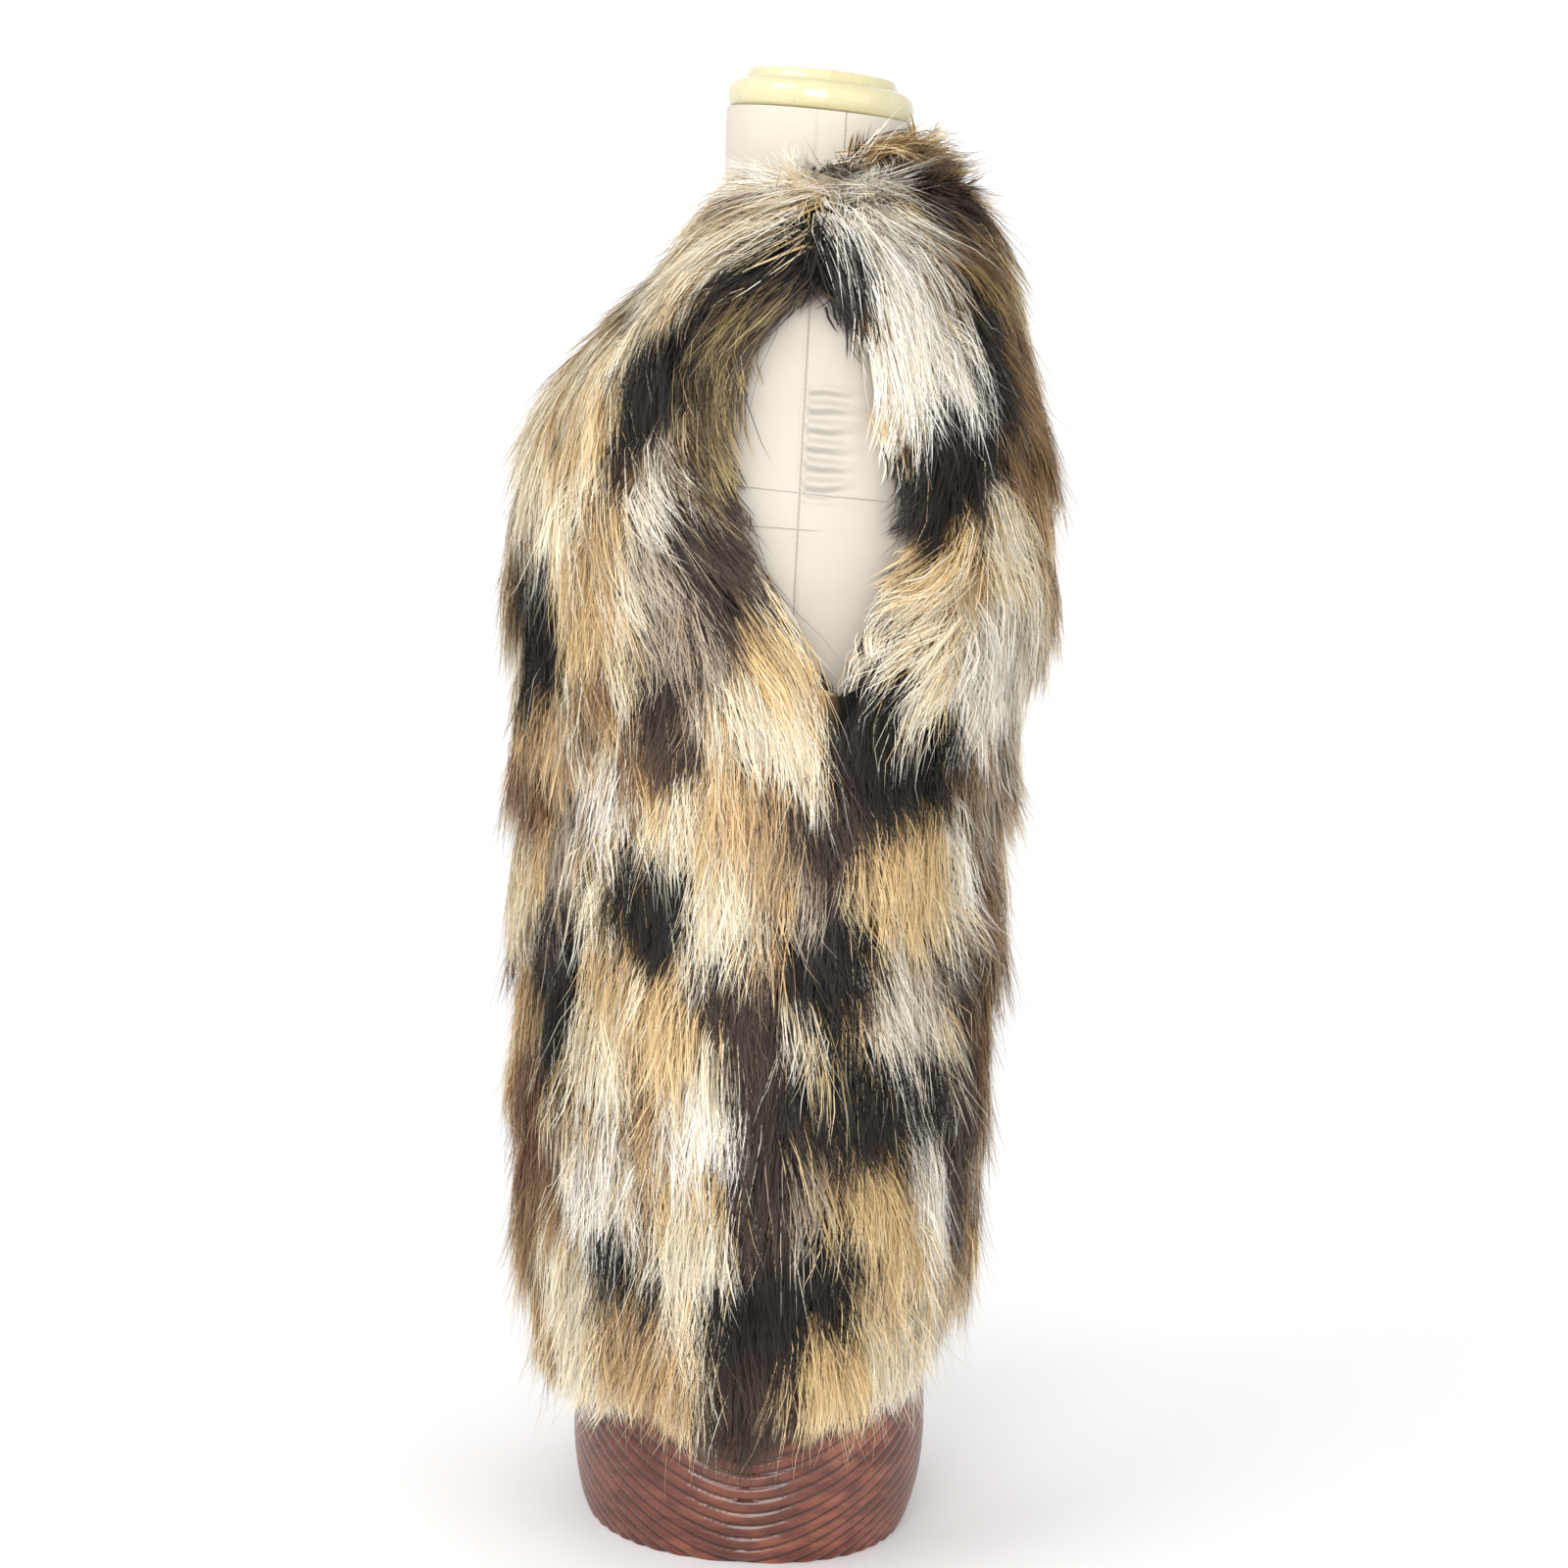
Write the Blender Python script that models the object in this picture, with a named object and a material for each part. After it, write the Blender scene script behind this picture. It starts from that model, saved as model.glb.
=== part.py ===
"""A faux fur vest worn by a limbless dress form, built at real size in metres.

The wearer faces -Y, the wearer's left is +X and +Z is up. The origin is the centre of the pedestal's flat foot.
Each cut panel of the vest is a wall: a plain inside that follows the figure with some ease, and an outside
moved out along the figure's normals by the thickness of the fur pile.
"""

import bmesh
import bpy
import math
import numpy as np

# The figure that the form has and that the vest hangs on. It runs from the thighs to the top of the neck.
FIGURE_COLUMNS = ("height", "side", "front", "back")
FIGURE = (
    (0.004, 0.128, 0.097, 0.092),
    (0.039, 0.130, 0.097, 0.092),
    (0.074, 0.134, 0.099, 0.093),
    (0.114, 0.144, 0.103, 0.095),
    (0.183, 0.160, 0.110, 0.100),
    (0.244, 0.164, 0.112, 0.101),
    (0.305, 0.155, 0.110, 0.099),
    (0.364, 0.140, 0.106, 0.098),
    (0.404, 0.133, 0.106, 0.094),
    (0.439, 0.133, 0.110, 0.095),
    (0.487, 0.139, 0.122, 0.106),
    (0.546, 0.148, 0.138, 0.121),
    (0.588, 0.152, 0.143, 0.124),
    (0.634, 0.154, 0.130, 0.117),
    (0.665, 0.157, 0.113, 0.110),
    (0.694, 0.160, 0.088, 0.103),
    (0.716, 0.159, 0.069, 0.097),
    (0.731, 0.149, 0.060, 0.092),
    (0.748, 0.117, 0.054, 0.086),
    (0.763, 0.086, 0.052, 0.077),
    (0.778, 0.061, 0.052, 0.066),
    (0.796, 0.0555, 0.0535, 0.058),
    (0.816, 0.0545, 0.0545, 0.0552),
    (0.839, 0.0545, 0.0545, 0.0545),
)
SQUARENESS = 2.2

# How far the inside of the vest stands off the figure. The fronts hang straight down from the bust.
EASE_COLUMNS = ("height", "side", "front", "back")
EASE = (
    (0.004, 0.012, 0.009, 0.010),
    (0.039, 0.012, 0.009, 0.010),
    (0.084, 0.012, 0.010, 0.009),
    (0.121, 0.012, 0.012, 0.008),
    (0.183, 0.010, 0.015, 0.008),
    (0.244, 0.009, 0.018, 0.008),
    (0.305, 0.013, 0.022, 0.009),
    (0.364, 0.018, 0.030, 0.013),
    (0.404, 0.021, 0.033, 0.018),
    (0.439, 0.020, 0.030, 0.015),
    (0.487, 0.015, 0.021, 0.012),
    (0.546, 0.010, 0.009, 0.008),
    (0.588, 0.007, 0.005, 0.006),
    (0.634, 0.006, 0.005, 0.005),
    (0.665, 0.006, 0.005, 0.005),
    (0.754, 0.005, 0.004, 0.005),
    (0.839, 0.004, 0.004, 0.004),
)
SHOULDER_LIFT = 0.007

# Cut of the vest
SEAM_GAP = 0.0004
HEM_COLUMNS = ("degrees", "height")
HEM = (
    (0, 0.076),
    (40, 0.084),
    (68, 0.090),
    (86, 0.066),
    (104, 0.088),
    (135, 0.100),
    (180, 0.124),
)
ARMHOLE_COLUMNS = ("height", "front", "back")
ARMHOLE = (
    (0.507, 0.028, 0.028),
    (0.520, 0.012, 0.037),
    (0.554, -0.007, 0.046),
    (0.586, -0.030, 0.058),
    (0.618, -0.040, 0.056),
    (0.660, -0.039, 0.041),
    (0.697, -0.028, 0.031),
    (0.716, -0.012, 0.018),
    (0.724, 0.005, 0.005),
)
SIDE_SEAM_REACH = 0.160
NECK_POINT, NECK_FRONT, NECK_NAPE = 0.800, 0.768, 0.822
NECKLINE_CURVE = 1.35

# The fur pile, which lies down and swells towards the lower end of each pieced row
PILE = 0.024
EDGE_PILE = 0.010
EDGE_REACH, HEM_REACH = 0.042, 0.060
ROW, COLUMN, FIRST_ROW = 0.096, 0.054, 0.149
GIRTH_RADIUS = 0.155  # turns an angle round the vest into a length
ROW_LEAN = 0.35  # the rows hang lower at the sides
ROW_SWELL = 0.011
SCALLOP = 0.018
SWELL_TOP, SHOULDER_FADE = 0.670, 0.060
STRIP_SEAM_DEPTH, STRIP_SEAM_WIDTH = 0.006, 0.012
STRIP_SEAMS = (math.radians(30), math.radians(62), math.radians(122), math.radians(152))
TUFTS, TUFT_DEPTH = 28, 0.007

NORMAL_TURN, NORMAL_RISE = 0.05, 0.010
SHARP = math.radians(50)

# Panel grids: columns from the centre to the side, rows below the armhole, beside it and beside the shoulder seam
COLUMNS, LOW_ROWS, ARMHOLE_ROWS, SHOULDER_ROWS = 14, 19, 11, 6

# The dress form's torso, its lacquered neck cap and the reeded pedestal that it stands on
FORM_BOTTOM, FORM_TOP = 0.1203, 0.8285
FORM_RINGS, FORM_SIDES = 28, 36
TOUCH_GAP = 0.0003
CAP_TILT = math.radians(2.7)
CAP_SIDES = 36
CAP_COLUMNS = ("radius", "height")
CAP_PROFILE = (
    (0.0490, 0.0000),
    (0.0525, 0.0010),
    (0.0543, 0.0045),
    (0.0547, 0.0085),
    (0.0540, 0.0125),
    (0.0510, 0.0160),
    (0.0462, 0.0170),
    (0.0450, 0.0180),
    (0.0438, 0.0215),
    (0.0410, 0.0235),
    (0.0250, 0.0240),
)

PEDESTAL_TOP = 0.120
PEDESTAL_SIDES = 48
PEDESTAL_COLUMNS = ("height", "side", "front", "back")
PEDESTAL = (
    (0.000, 0.1120, 0.0935, 0.0930),
    (0.010, 0.1160, 0.0975, 0.0970),
    (0.030, 0.1210, 0.1020, 0.1015),
    (0.050, 0.1240, 0.1040, 0.1030),
    (0.070, 0.1240, 0.1035, 0.1025),
    (0.095, 0.1220, 0.1015, 0.1000),
    (0.120, 0.1180, 0.0975, 0.0960),
)
REED_PITCH = 0.0080
REED_HEIGHT = 0.0024
REED_SWAG, REED_SWAG_POWER = 0.072, 1.6

FABRICS = {
    "front_left": (0.62, 0.46, 0.28),
    "front_right": (0.60, 0.44, 0.27),
    "back": (0.45, 0.34, 0.22),
}
MUSLIN = (0.72, 0.66, 0.57)
CREAM_LACQUER = (0.84, 0.78, 0.52)
RED_BROWN = (0.22, 0.075, 0.045)


def value_at(table, column, height):
    """A smooth curve through one column of a table, read at a height."""
    heights = [row[0] for row in table]
    values = [row[column] for row in table]
    height = min(max(height, heights[0]), heights[-1])
    last = len(heights) - 2
    i = next((k for k in range(last + 1) if height <= heights[k + 1]), last)

    def slope(k):
        low, high = max(k - 1, 0), min(k + 1, len(heights) - 1)
        return (values[high] - values[low]) / (heights[high] - heights[low])

    span = heights[i + 1] - heights[i]
    t = (height - heights[i]) / span
    return (
        values[i] * (1 + 2 * t) * (1 - t) ** 2
        + span * slope(i) * t * (1 - t) ** 2
        + values[i + 1] * t * t * (3 - 2 * t)
        + span * slope(i + 1) * t * t * (t - 1)
    )


def section_point(angle, side, front, back):
    """A point on a rounded section. Angle 0 is the front, a quarter turn the wearer's left, a half turn the back."""
    power = 2 / SQUARENESS
    s, c = math.sin(angle), math.cos(angle)
    x = side * math.copysign(abs(s) ** power, s)
    y = (-front if c > 0 else back) * abs(c) ** power
    return x, y


def vest_sizes(height):
    """Half the width, the front depth and the back depth of the inside of the vest."""
    figure = [value_at(FIGURE, k, height - SHOULDER_LIFT) for k in (1, 2, 3)]
    ease = [value_at(EASE, k, height) for k in (1, 2, 3)]
    return [a + b for a, b in zip(figure, ease)]


def vest_point(angle, height):
    x, y = section_point(angle, *vest_sizes(height))
    return np.array((x, y, height))


def vest_normal(angle, height):
    """The outward normal of the inside of the vest, evened out over a fingertip's width."""
    round_it = vest_point(angle + NORMAL_TURN, height) - vest_point(angle - NORMAL_TURN, height)
    up = vest_point(angle, height + NORMAL_RISE) - vest_point(angle, height - NORMAL_RISE)
    normal = np.cross(round_it, up)
    return normal / np.linalg.norm(normal)


def hem_height(angle):
    """The lowest reach of the fur, which ends in tufts, the longest of them over the side seam."""
    return value_at(HEM, 1, math.degrees(angle)) + TUFT_DEPTH * (abs(math.sin(TUFTS * angle / 2)) - 0.5)


def angle_at_x(x, height):
    side = vest_sizes(height)[0]
    return math.asin(min(1.0, (x / side) ** (SQUARENESS / 2)))


def angle_at_y(y, height):
    side, front, back = vest_sizes(height)
    depth = front if y < 0 else back
    turn = math.acos(min(1.0, (abs(y) / depth) ** (SQUARENESS / 2)))
    return turn if y < 0 else math.pi - turn


def side_seam(height):
    """The side seam's angle. The seam leans back as it nears the armhole."""
    t = min(max(1 - (ARMHOLE[0][0] - height) / SIDE_SEAM_REACH, 0.0), 1.0)
    return angle_at_y(ARMHOLE[0][1] * t * t * (3 - 2 * t), height)


def side_edge(row, is_front):
    """Angle and height at a panel's side: up the armhole's edge, then along the shoulder seam to the neck point."""
    low, tip = ARMHOLE[0][0], ARMHOLE[-1][0]
    if row <= ARMHOLE_ROWS:
        height = low + (tip - low) * (1 - math.cos(math.pi * row / ARMHOLE_ROWS)) / 2
        y = value_at(ARMHOLE, 1 if is_front else 2, height)
    else:
        t = (row - ARMHOLE_ROWS) / SHOULDER_ROWS
        height = tip + (NECK_POINT - tip) * t
        y = ARMHOLE[-1][1] * (1 - t)
    return np.array((angle_at_y(y, height), height))


def neckline(u, is_front):
    """Angle and height along the neckline, from the centre at 0 to the neck point at 1."""
    widest = vest_sizes(NECK_POINT)[0]
    if is_front:
        height = NECK_FRONT + (NECK_POINT - NECK_FRONT) * u**NECKLINE_CURVE
        return np.array((angle_at_x(widest * u, height), height))
    height = NECK_POINT + (NECK_NAPE - NECK_POINT) * math.cos(u * math.pi / 2)
    x = min(widest * math.sin(u * math.pi / 2), vest_sizes(height)[0])
    return np.array((math.pi - angle_at_x(x, height), height))


def panel_place(u, row, is_front):
    """Angle and height of a grid point: u is 0 at the centre and 1 at the side, and rows count from the hem."""
    low = ARMHOLE[0][0]
    if row <= LOW_ROWS:
        hem = hem_height(u * math.pi / 2 if is_front else math.pi - u * math.pi / 2)
        height = hem + (low - hem) * row / LOW_ROWS
        seam = side_seam(height)
        return np.array((u * seam if is_front else math.pi - u * (math.pi - seam), height))
    high = row - LOW_ROWS
    v = high / (ARMHOLE_ROWS + SHOULDER_ROWS)
    seam = side_seam(low)
    centre_angle = 0.0 if is_front else math.pi
    centre_low = np.array((centre_angle, low))
    centre_high = neckline(0.0, is_front)
    centre = (1 - v) * centre_low + v * centre_high
    foot = np.array((centre_angle + u * (seam - centre_angle), low))
    across = (1 - u) * centre + u * side_edge(high, is_front)
    along = (1 - v) * foot + v * neckline(u, is_front)
    lower = (1 - u) * centre_low + u * side_edge(0, is_front)
    upper = (1 - u) * centre_high + u * side_edge(ARMHOLE_ROWS + SHOULDER_ROWS, is_front)
    return across + along - (1 - v) * lower - v * upper


def edge_share(distance, reach):
    """0 at a free edge, rising smoothly to 1 where the pile has its full thickness."""
    t = min(max(distance / reach, 0.0), 1.0)
    return t * t * (3 - 2 * t)


def pile_at(angle, height, distance, hem_distance):
    """Thickness of the fur at a place, with its pieced rows, strip seams and thinner free edges."""
    across = angle * GIRTH_RADIUS
    lean = ROW_LEAN * abs(angle - math.pi / 2) * GIRTH_RADIUS
    row_height = height - FIRST_ROW + lean + SCALLOP * (abs(math.cos(math.pi * across / COLUMN)) - 0.5)
    down = 1 - (row_height / ROW) % 1.0
    swell = ROW_SWELL * (down - 0.5) * (1 - edge_share(height - SWELL_TOP, SHOULDER_FADE))
    seam = sum(math.exp(-(((angle - a) * GIRTH_RADIUS / STRIP_SEAM_WIDTH) ** 2)) for a in STRIP_SEAMS)
    full = PILE + swell - STRIP_SEAM_DEPTH * seam
    share = edge_share(distance, EDGE_REACH) * edge_share(hem_distance, HEM_REACH)
    return EDGE_PILE + (full - EDGE_PILE) * share


def panel_places(is_front):
    rows = LOW_ROWS + ARMHOLE_ROWS + SHOULDER_ROWS
    return [[panel_place(c / COLUMNS, r, is_front) for c in range(COLUMNS + 1)] for r in range(rows + 1)]


def half_panels():
    """Inside and outside points of the left half of the front and of the back, as [row][column], centre first."""
    places = {is_front: panel_places(is_front) for is_front in (True, False)}
    inside = {key: np.array([[vest_point(*p) for p in row] for row in grid]) for key, grid in places.items()}
    tip = LOW_ROWS + ARMHOLE_ROWS
    free = [grid[-1] for grid in inside.values()]
    free = np.concatenate(free + [grid[LOW_ROWS : tip + 1, COLUMNS] for grid in inside.values()])
    hem = np.concatenate([grid[0] for grid in inside.values()])
    halves = []
    for is_front, grid in places.items():
        inner = inside[is_front]
        outer = inner.copy()
        for r, row in enumerate(grid):
            for c, (angle, height) in enumerate(row):
                distance = np.linalg.norm(free - inner[r, c], axis=1).min()
                hem_distance = np.linalg.norm(hem - inner[r, c], axis=1).min()
                outer[r, c] += vest_normal(angle, height) * pile_at(angle, height, distance, hem_distance)
        for points in (inner, outer):
            part_seams(points, -1 if is_front else 1)
        halves.append((inner, outer))
    return halves


def part_seams(points, way):
    """Open the side and shoulder seams, and the fronts' closing line, by half of the gap on this side."""
    points[: LOW_ROWS + 1, COLUMNS, 1] += way * SEAM_GAP / 2
    points[LOW_ROWS + ARMHOLE_ROWS :, COLUMNS, 1] += way * SEAM_GAP / 2
    if way < 0:
        points[:, 0, 0] = SEAM_GAP / 2


def material(name, colour, roughness):
    made = bpy.data.materials.new(name)
    made.use_nodes = True
    shader = made.node_tree.nodes["Principled BSDF"]
    shader.inputs["Base Color"].default_value = (*colour, 1.0)
    shader.inputs["Roughness"].default_value = roughness
    shader.inputs["Metallic"].default_value = 0.0
    return made


def add_object(name, points, faces, colour, roughness):
    mesh = bpy.data.meshes.new(name)
    mesh.from_pydata([tuple(p) for p in points], [], faces)
    mesh.update()
    mesh.shade_smooth()
    mesh.set_sharp_from_angle(angle=SHARP)
    mesh.materials.append(material(name, colour, roughness))
    made = bpy.data.objects.new(name, mesh)
    bpy.context.scene.collection.objects.link(made)
    return made


def add_wall(name, inside, outside, colour):
    """A closed wall between two grids. The columns run from the wearer's right to the left as seen from outside."""
    rows, columns = inside.shape[0], inside.shape[1]
    points = np.concatenate([inside.reshape(-1, 3), outside.reshape(-1, 3)])
    shift = rows * columns

    def at(r, c, layer):
        return layer * shift + r * columns + c

    faces = []
    for r in range(rows - 1):
        for c in range(columns - 1):
            corner = [(r, c), (r, c + 1), (r + 1, c + 1), (r + 1, c)]
            faces.append([at(*p, 1) for p in corner])
            faces.append([at(*p, 0) for p in reversed(corner)])
    rim = [(0, c) for c in range(columns)]
    rim += [(r, columns - 1) for r in range(1, rows)]
    rim += [(rows - 1, c) for c in range(columns - 2, -1, -1)]
    rim += [(r, 0) for r in range(rows - 2, 0, -1)]
    for a, b in zip(rim, rim[1:] + rim[:1]):
        in_a, in_b, out_b, out_a = at(*a, 0), at(*b, 0), at(*b, 1), at(*a, 1)
        if inside[a][2] < inside[b][2]:  # both sides of a seam split their faces from the lower inside point
            faces += [[in_a, in_b, out_b], [in_a, out_b, out_a]]
        else:
            faces += [[in_a, in_b, out_a], [in_b, out_b, out_a]]
    return add_object(name, points, faces, colour, 0.9)


def mirrored(points):
    return points[:, ::-1] * np.array((-1.0, 1.0, 1.0))


def add_rings(name, rings, colour, roughness):
    """A closed body through rings that all have the same number of points, from the bottom up."""
    sides = len(rings[0])
    points = [p for ring in rings for p in ring]
    faces = [list(range(sides - 1, -1, -1))]
    for r in range(len(rings) - 1):
        for c in range(sides):
            d = (c + 1) % sides
            low, high = r * sides, (r + 1) * sides
            faces.append([low + c, low + d, high + d, high + c])
    top = (len(rings) - 1) * sides
    faces.append([top + c for c in range(sides)])
    return add_object(name, points, faces, colour, roughness)


def build_vest():
    (front_in, front_out), (back_in, back_out) = half_panels()
    add_wall("front_left", front_in, front_out, FABRICS["front_left"])
    add_wall("front_right", mirrored(front_in), mirrored(front_out), FABRICS["front_right"])
    whole_in = np.concatenate([back_in[:, ::-1], mirrored(back_in)[:, ::-1][:, 1:]], axis=1)
    whole_out = np.concatenate([back_out[:, ::-1], mirrored(back_out)[:, ::-1][:, 1:]], axis=1)
    add_wall("back", whole_in, whole_out, FABRICS["back"])


def build_dress_form():
    rings = []
    for r in range(FORM_RINGS + 1):
        height = FORM_BOTTOM + (FORM_TOP - FORM_BOTTOM) * r / FORM_RINGS
        sizes = [value_at(FIGURE, k, height) for k in (1, 2, 3)]
        turns = [math.tau * c / FORM_SIDES for c in range(FORM_SIDES)]
        rings.append([(*section_point(a, *sizes), height) for a in turns])
    add_rings("dress_form", rings, MUSLIN, 0.85)


def build_neck_cap():
    """A turned cap with a thick rolled rim. Its front is a little higher than its back."""
    rings = []
    for radius, height in CAP_PROFILE:
        ring = []
        for c in range(CAP_SIDES):
            a = math.tau * c / CAP_SIDES
            x, y = radius * math.sin(a), -radius * math.cos(a)
            ring.append((x, y * math.cos(CAP_TILT), height - y * math.sin(CAP_TILT)))
        rings.append(ring)
    base = FORM_TOP + TOUCH_GAP + CAP_PROFILE[2][0] * math.sin(CAP_TILT)
    cap = add_rings("neck_cap", rings, CREAM_LACQUER, 0.2)
    cap.location = (0.0, 0.0, base)


def build_pedestal():
    """A rounded pedestal wound with reeds that hang in swags, lowest at the wearer's sides, cut flat at the foot."""
    turns = [math.tau * c / PEDESTAL_SIDES for c in range(PEDESTAL_SIDES)]
    reeds = math.ceil((PEDESTAL_TOP + REED_SWAG) / REED_PITCH) + 1
    rings = []
    for k in range(2 * reeds + 1):
        level = PEDESTAL_TOP + REED_PITCH - (reeds - k / 2) * REED_PITCH
        ring = []
        for a in turns:
            height = level + REED_SWAG * abs(math.cos(a)) ** REED_SWAG_POWER
            sizes = [value_at(PEDESTAL, c, height) + REED_HEIGHT * (k % 2) for c in (1, 2, 3)]
            ring.append((*section_point(a, *sizes), height))
        rings.append(ring)
    pedestal = add_rings("pedestal", rings, RED_BROWN, 0.3)
    shape = bmesh.new()
    shape.from_mesh(pedestal.data)
    for height, side in ((0.0, -1.0), (PEDESTAL_TOP, 1.0)):
        everything = list(shape.verts) + list(shape.edges) + list(shape.faces)
        cut = bmesh.ops.bisect_plane(
            shape, geom=everything, plane_co=(0, 0, height), plane_no=(0, 0, side), clear_outer=True
        )
        rim = [part for part in cut["geom_cut"] if isinstance(part, bmesh.types.BMEdge)]
        bmesh.ops.contextual_create(shape, geom=rim)
    bmesh.ops.recalc_face_normals(shape, faces=list(shape.faces))
    shape.to_mesh(pedestal.data)
    shape.free()


for old in list(bpy.data.objects):
    bpy.data.objects.remove(old)
build_vest()
build_dress_form()
build_neck_cap()
build_pedestal()
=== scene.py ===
import math

import bpy
import numpy as np
from mathutils import Matrix, Vector


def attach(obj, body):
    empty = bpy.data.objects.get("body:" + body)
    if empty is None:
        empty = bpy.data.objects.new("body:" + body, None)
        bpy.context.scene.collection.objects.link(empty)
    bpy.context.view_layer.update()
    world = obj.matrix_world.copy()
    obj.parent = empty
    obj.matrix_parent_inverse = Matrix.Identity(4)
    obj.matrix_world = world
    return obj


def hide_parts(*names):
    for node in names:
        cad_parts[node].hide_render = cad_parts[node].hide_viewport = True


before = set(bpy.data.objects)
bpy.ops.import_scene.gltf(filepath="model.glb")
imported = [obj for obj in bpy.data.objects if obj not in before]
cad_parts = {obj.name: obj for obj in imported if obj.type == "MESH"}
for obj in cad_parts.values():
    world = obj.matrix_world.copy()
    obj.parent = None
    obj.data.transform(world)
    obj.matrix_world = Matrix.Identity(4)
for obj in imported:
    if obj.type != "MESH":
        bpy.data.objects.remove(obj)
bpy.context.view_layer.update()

print("frame loaded")


class Wire:  # a socket that can be used in sums
    def __init__(self, shader, socket):
        self.shader, self.socket = shader, socket

    def apply(self, operation, *others):
        return self.shader.sums(operation, self, *others)

    def __add__(self, other):
        return self.apply("ADD", other)

    def __sub__(self, other):
        return self.apply("SUBTRACT", other)

    def __rsub__(self, other):
        return self.shader.sums("SUBTRACT", other, self)

    def __mul__(self, other):
        return self.apply("MULTIPLY", other)

    def __truediv__(self, other):
        return self.apply("DIVIDE", other)

    def __pow__(self, other):
        return self.apply("POWER", other)

    __radd__, __rmul__ = __add__, __mul__

    def wave(self, length):  # one full swing in each length
        return (self * (2 * math.pi / length)).apply("SINE")

    def ramp(self, low, high):  # 0 below low, 1 above high, smooth between
        settings = {"interpolation_type": "SMOOTHSTEP", "clamp": True}
        return self.shader.node("ShaderNodeMapRange", settings, {0: self, 1: low, 2: high})


class Shader:  # one material and the nodes added to it
    def __init__(self, name, roughness=0.5, **plain):
        self.material = bpy.data.materials.new(name)
        self.material.use_nodes = True
        self.tree = self.material.node_tree
        self.surface = self.tree.nodes["Principled BSDF"]
        self.surface.inputs["Roughness"].default_value = roughness
        for socket, value in plain.items():
            self.surface.inputs[socket.replace("_", " ")].default_value = value

    def link(self, target, value):
        if isinstance(value, Wire):
            self.tree.links.new(value.socket, target)
        elif hasattr(target.default_value, "__len__") and not hasattr(value, "__len__"):
            target.default_value = [value] * len(target.default_value)
        else:
            target.default_value = value

    def node(self, kind, settings=None, sockets=None, output=0):
        made = self.tree.nodes.new(kind)
        for key, value in (settings or {}).items():
            if key == "stops":  # a colour ramp's stops, as (position, colour)
                ramp = made.color_ramp
                while len(ramp.elements) < len(value):
                    ramp.elements.new(0.5)
                for element, (position, colour) in zip(ramp.elements, value):
                    element.position = position
                    element.color = colour
            elif key == "rampKind":
                made.color_ramp.interpolation = value
            else:
                setattr(made, key, value)
        for key, value in (sockets or {}).items():
            self.link(made.inputs[key], value)
        return Wire(self, made.outputs[output])

    def sums(self, operation, *values):
        return self.node("ShaderNodeMath", {"operation": operation}, dict(enumerate(values)))

    def place(self):
        return self.node("ShaderNodeTexCoord", output="Object")

    def split(self, vector):
        parts = self.node("ShaderNodeSeparateXYZ", {}, {0: vector}).socket.node
        return [Wire(self, parts.outputs[k]) for k in range(3)]

    def noise(self, where, scale, detail=3.0, stretch=(1, 1, 1)):
        moved = self.node("ShaderNodeVectorMath", {"operation": "MULTIPLY"}, {0: where, 1: stretch})
        return self.node("ShaderNodeTexNoise", {}, {"Vector": moved, "Scale": scale, "Detail": detail})

    def mix(self, share, low, high):
        return self.node("ShaderNodeMix", {"data_type": "RGBA"}, {0: share, 6: low, 7: high}, 2)

    def set(self, socket, value):
        self.link(self.surface.inputs[socket], value)

    def bump(self, height, strength, distance):
        made = self.node("ShaderNodeBump", {}, {"Height": height, "Strength": strength, "Distance": distance})
        self.set("Normal", made)


def tone(red, green, blue):  # a given colour, as a linear one
    linear = [c / 255 / 12.92 if c < 11 else ((c / 255 + 0.055) / 1.055) ** 2.4 for c in (red, green, blue)]
    return (*linear, 1.0)


def newObject(name, data):
    made = bpy.data.objects.new(name, data)
    bpy.context.scene.collection.objects.link(made)
    return made


def newPiece(name, mesh, material):
    mesh.materials.clear()
    mesh.materials.append(material)
    return newObject(name, mesh)


def gridFaces(rows, columns, closed=False):
    across = columns if closed else columns - 1
    r, c = np.meshgrid(np.arange(rows - 1) * columns, np.arange(across), indexing="ij")
    d = (c + 1) % columns
    return np.stack([r + c, r + d, r + columns + d, r + columns + c], -1).reshape(-1, 4)


def closedRings(name, points):  # a skin on rings of points, closed at both ends
    rings, sides = points.shape[:2]
    faces = gridFaces(rings, sides, closed=True).tolist()
    faces.append(list(range(sides - 1, -1, -1)))
    faces.append([(rings - 1) * sides + k for k in range(sides)])
    mesh = bpy.data.meshes.new(name)
    mesh.from_pydata(points.reshape(-1, 3).tolist(), [], faces)
    return mesh


def softShade(mesh, degrees):  # smooth, but for edges sharper than this
    mesh.shade_smooth()
    mesh.set_sharp_from_angle(angle=math.radians(degrees))


def millimetres(rows):  # a table written in mm, as metres
    return np.round(np.array(rows) / 1000, 7)


# the figure and the cut of the vest, as the solids have them

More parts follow.
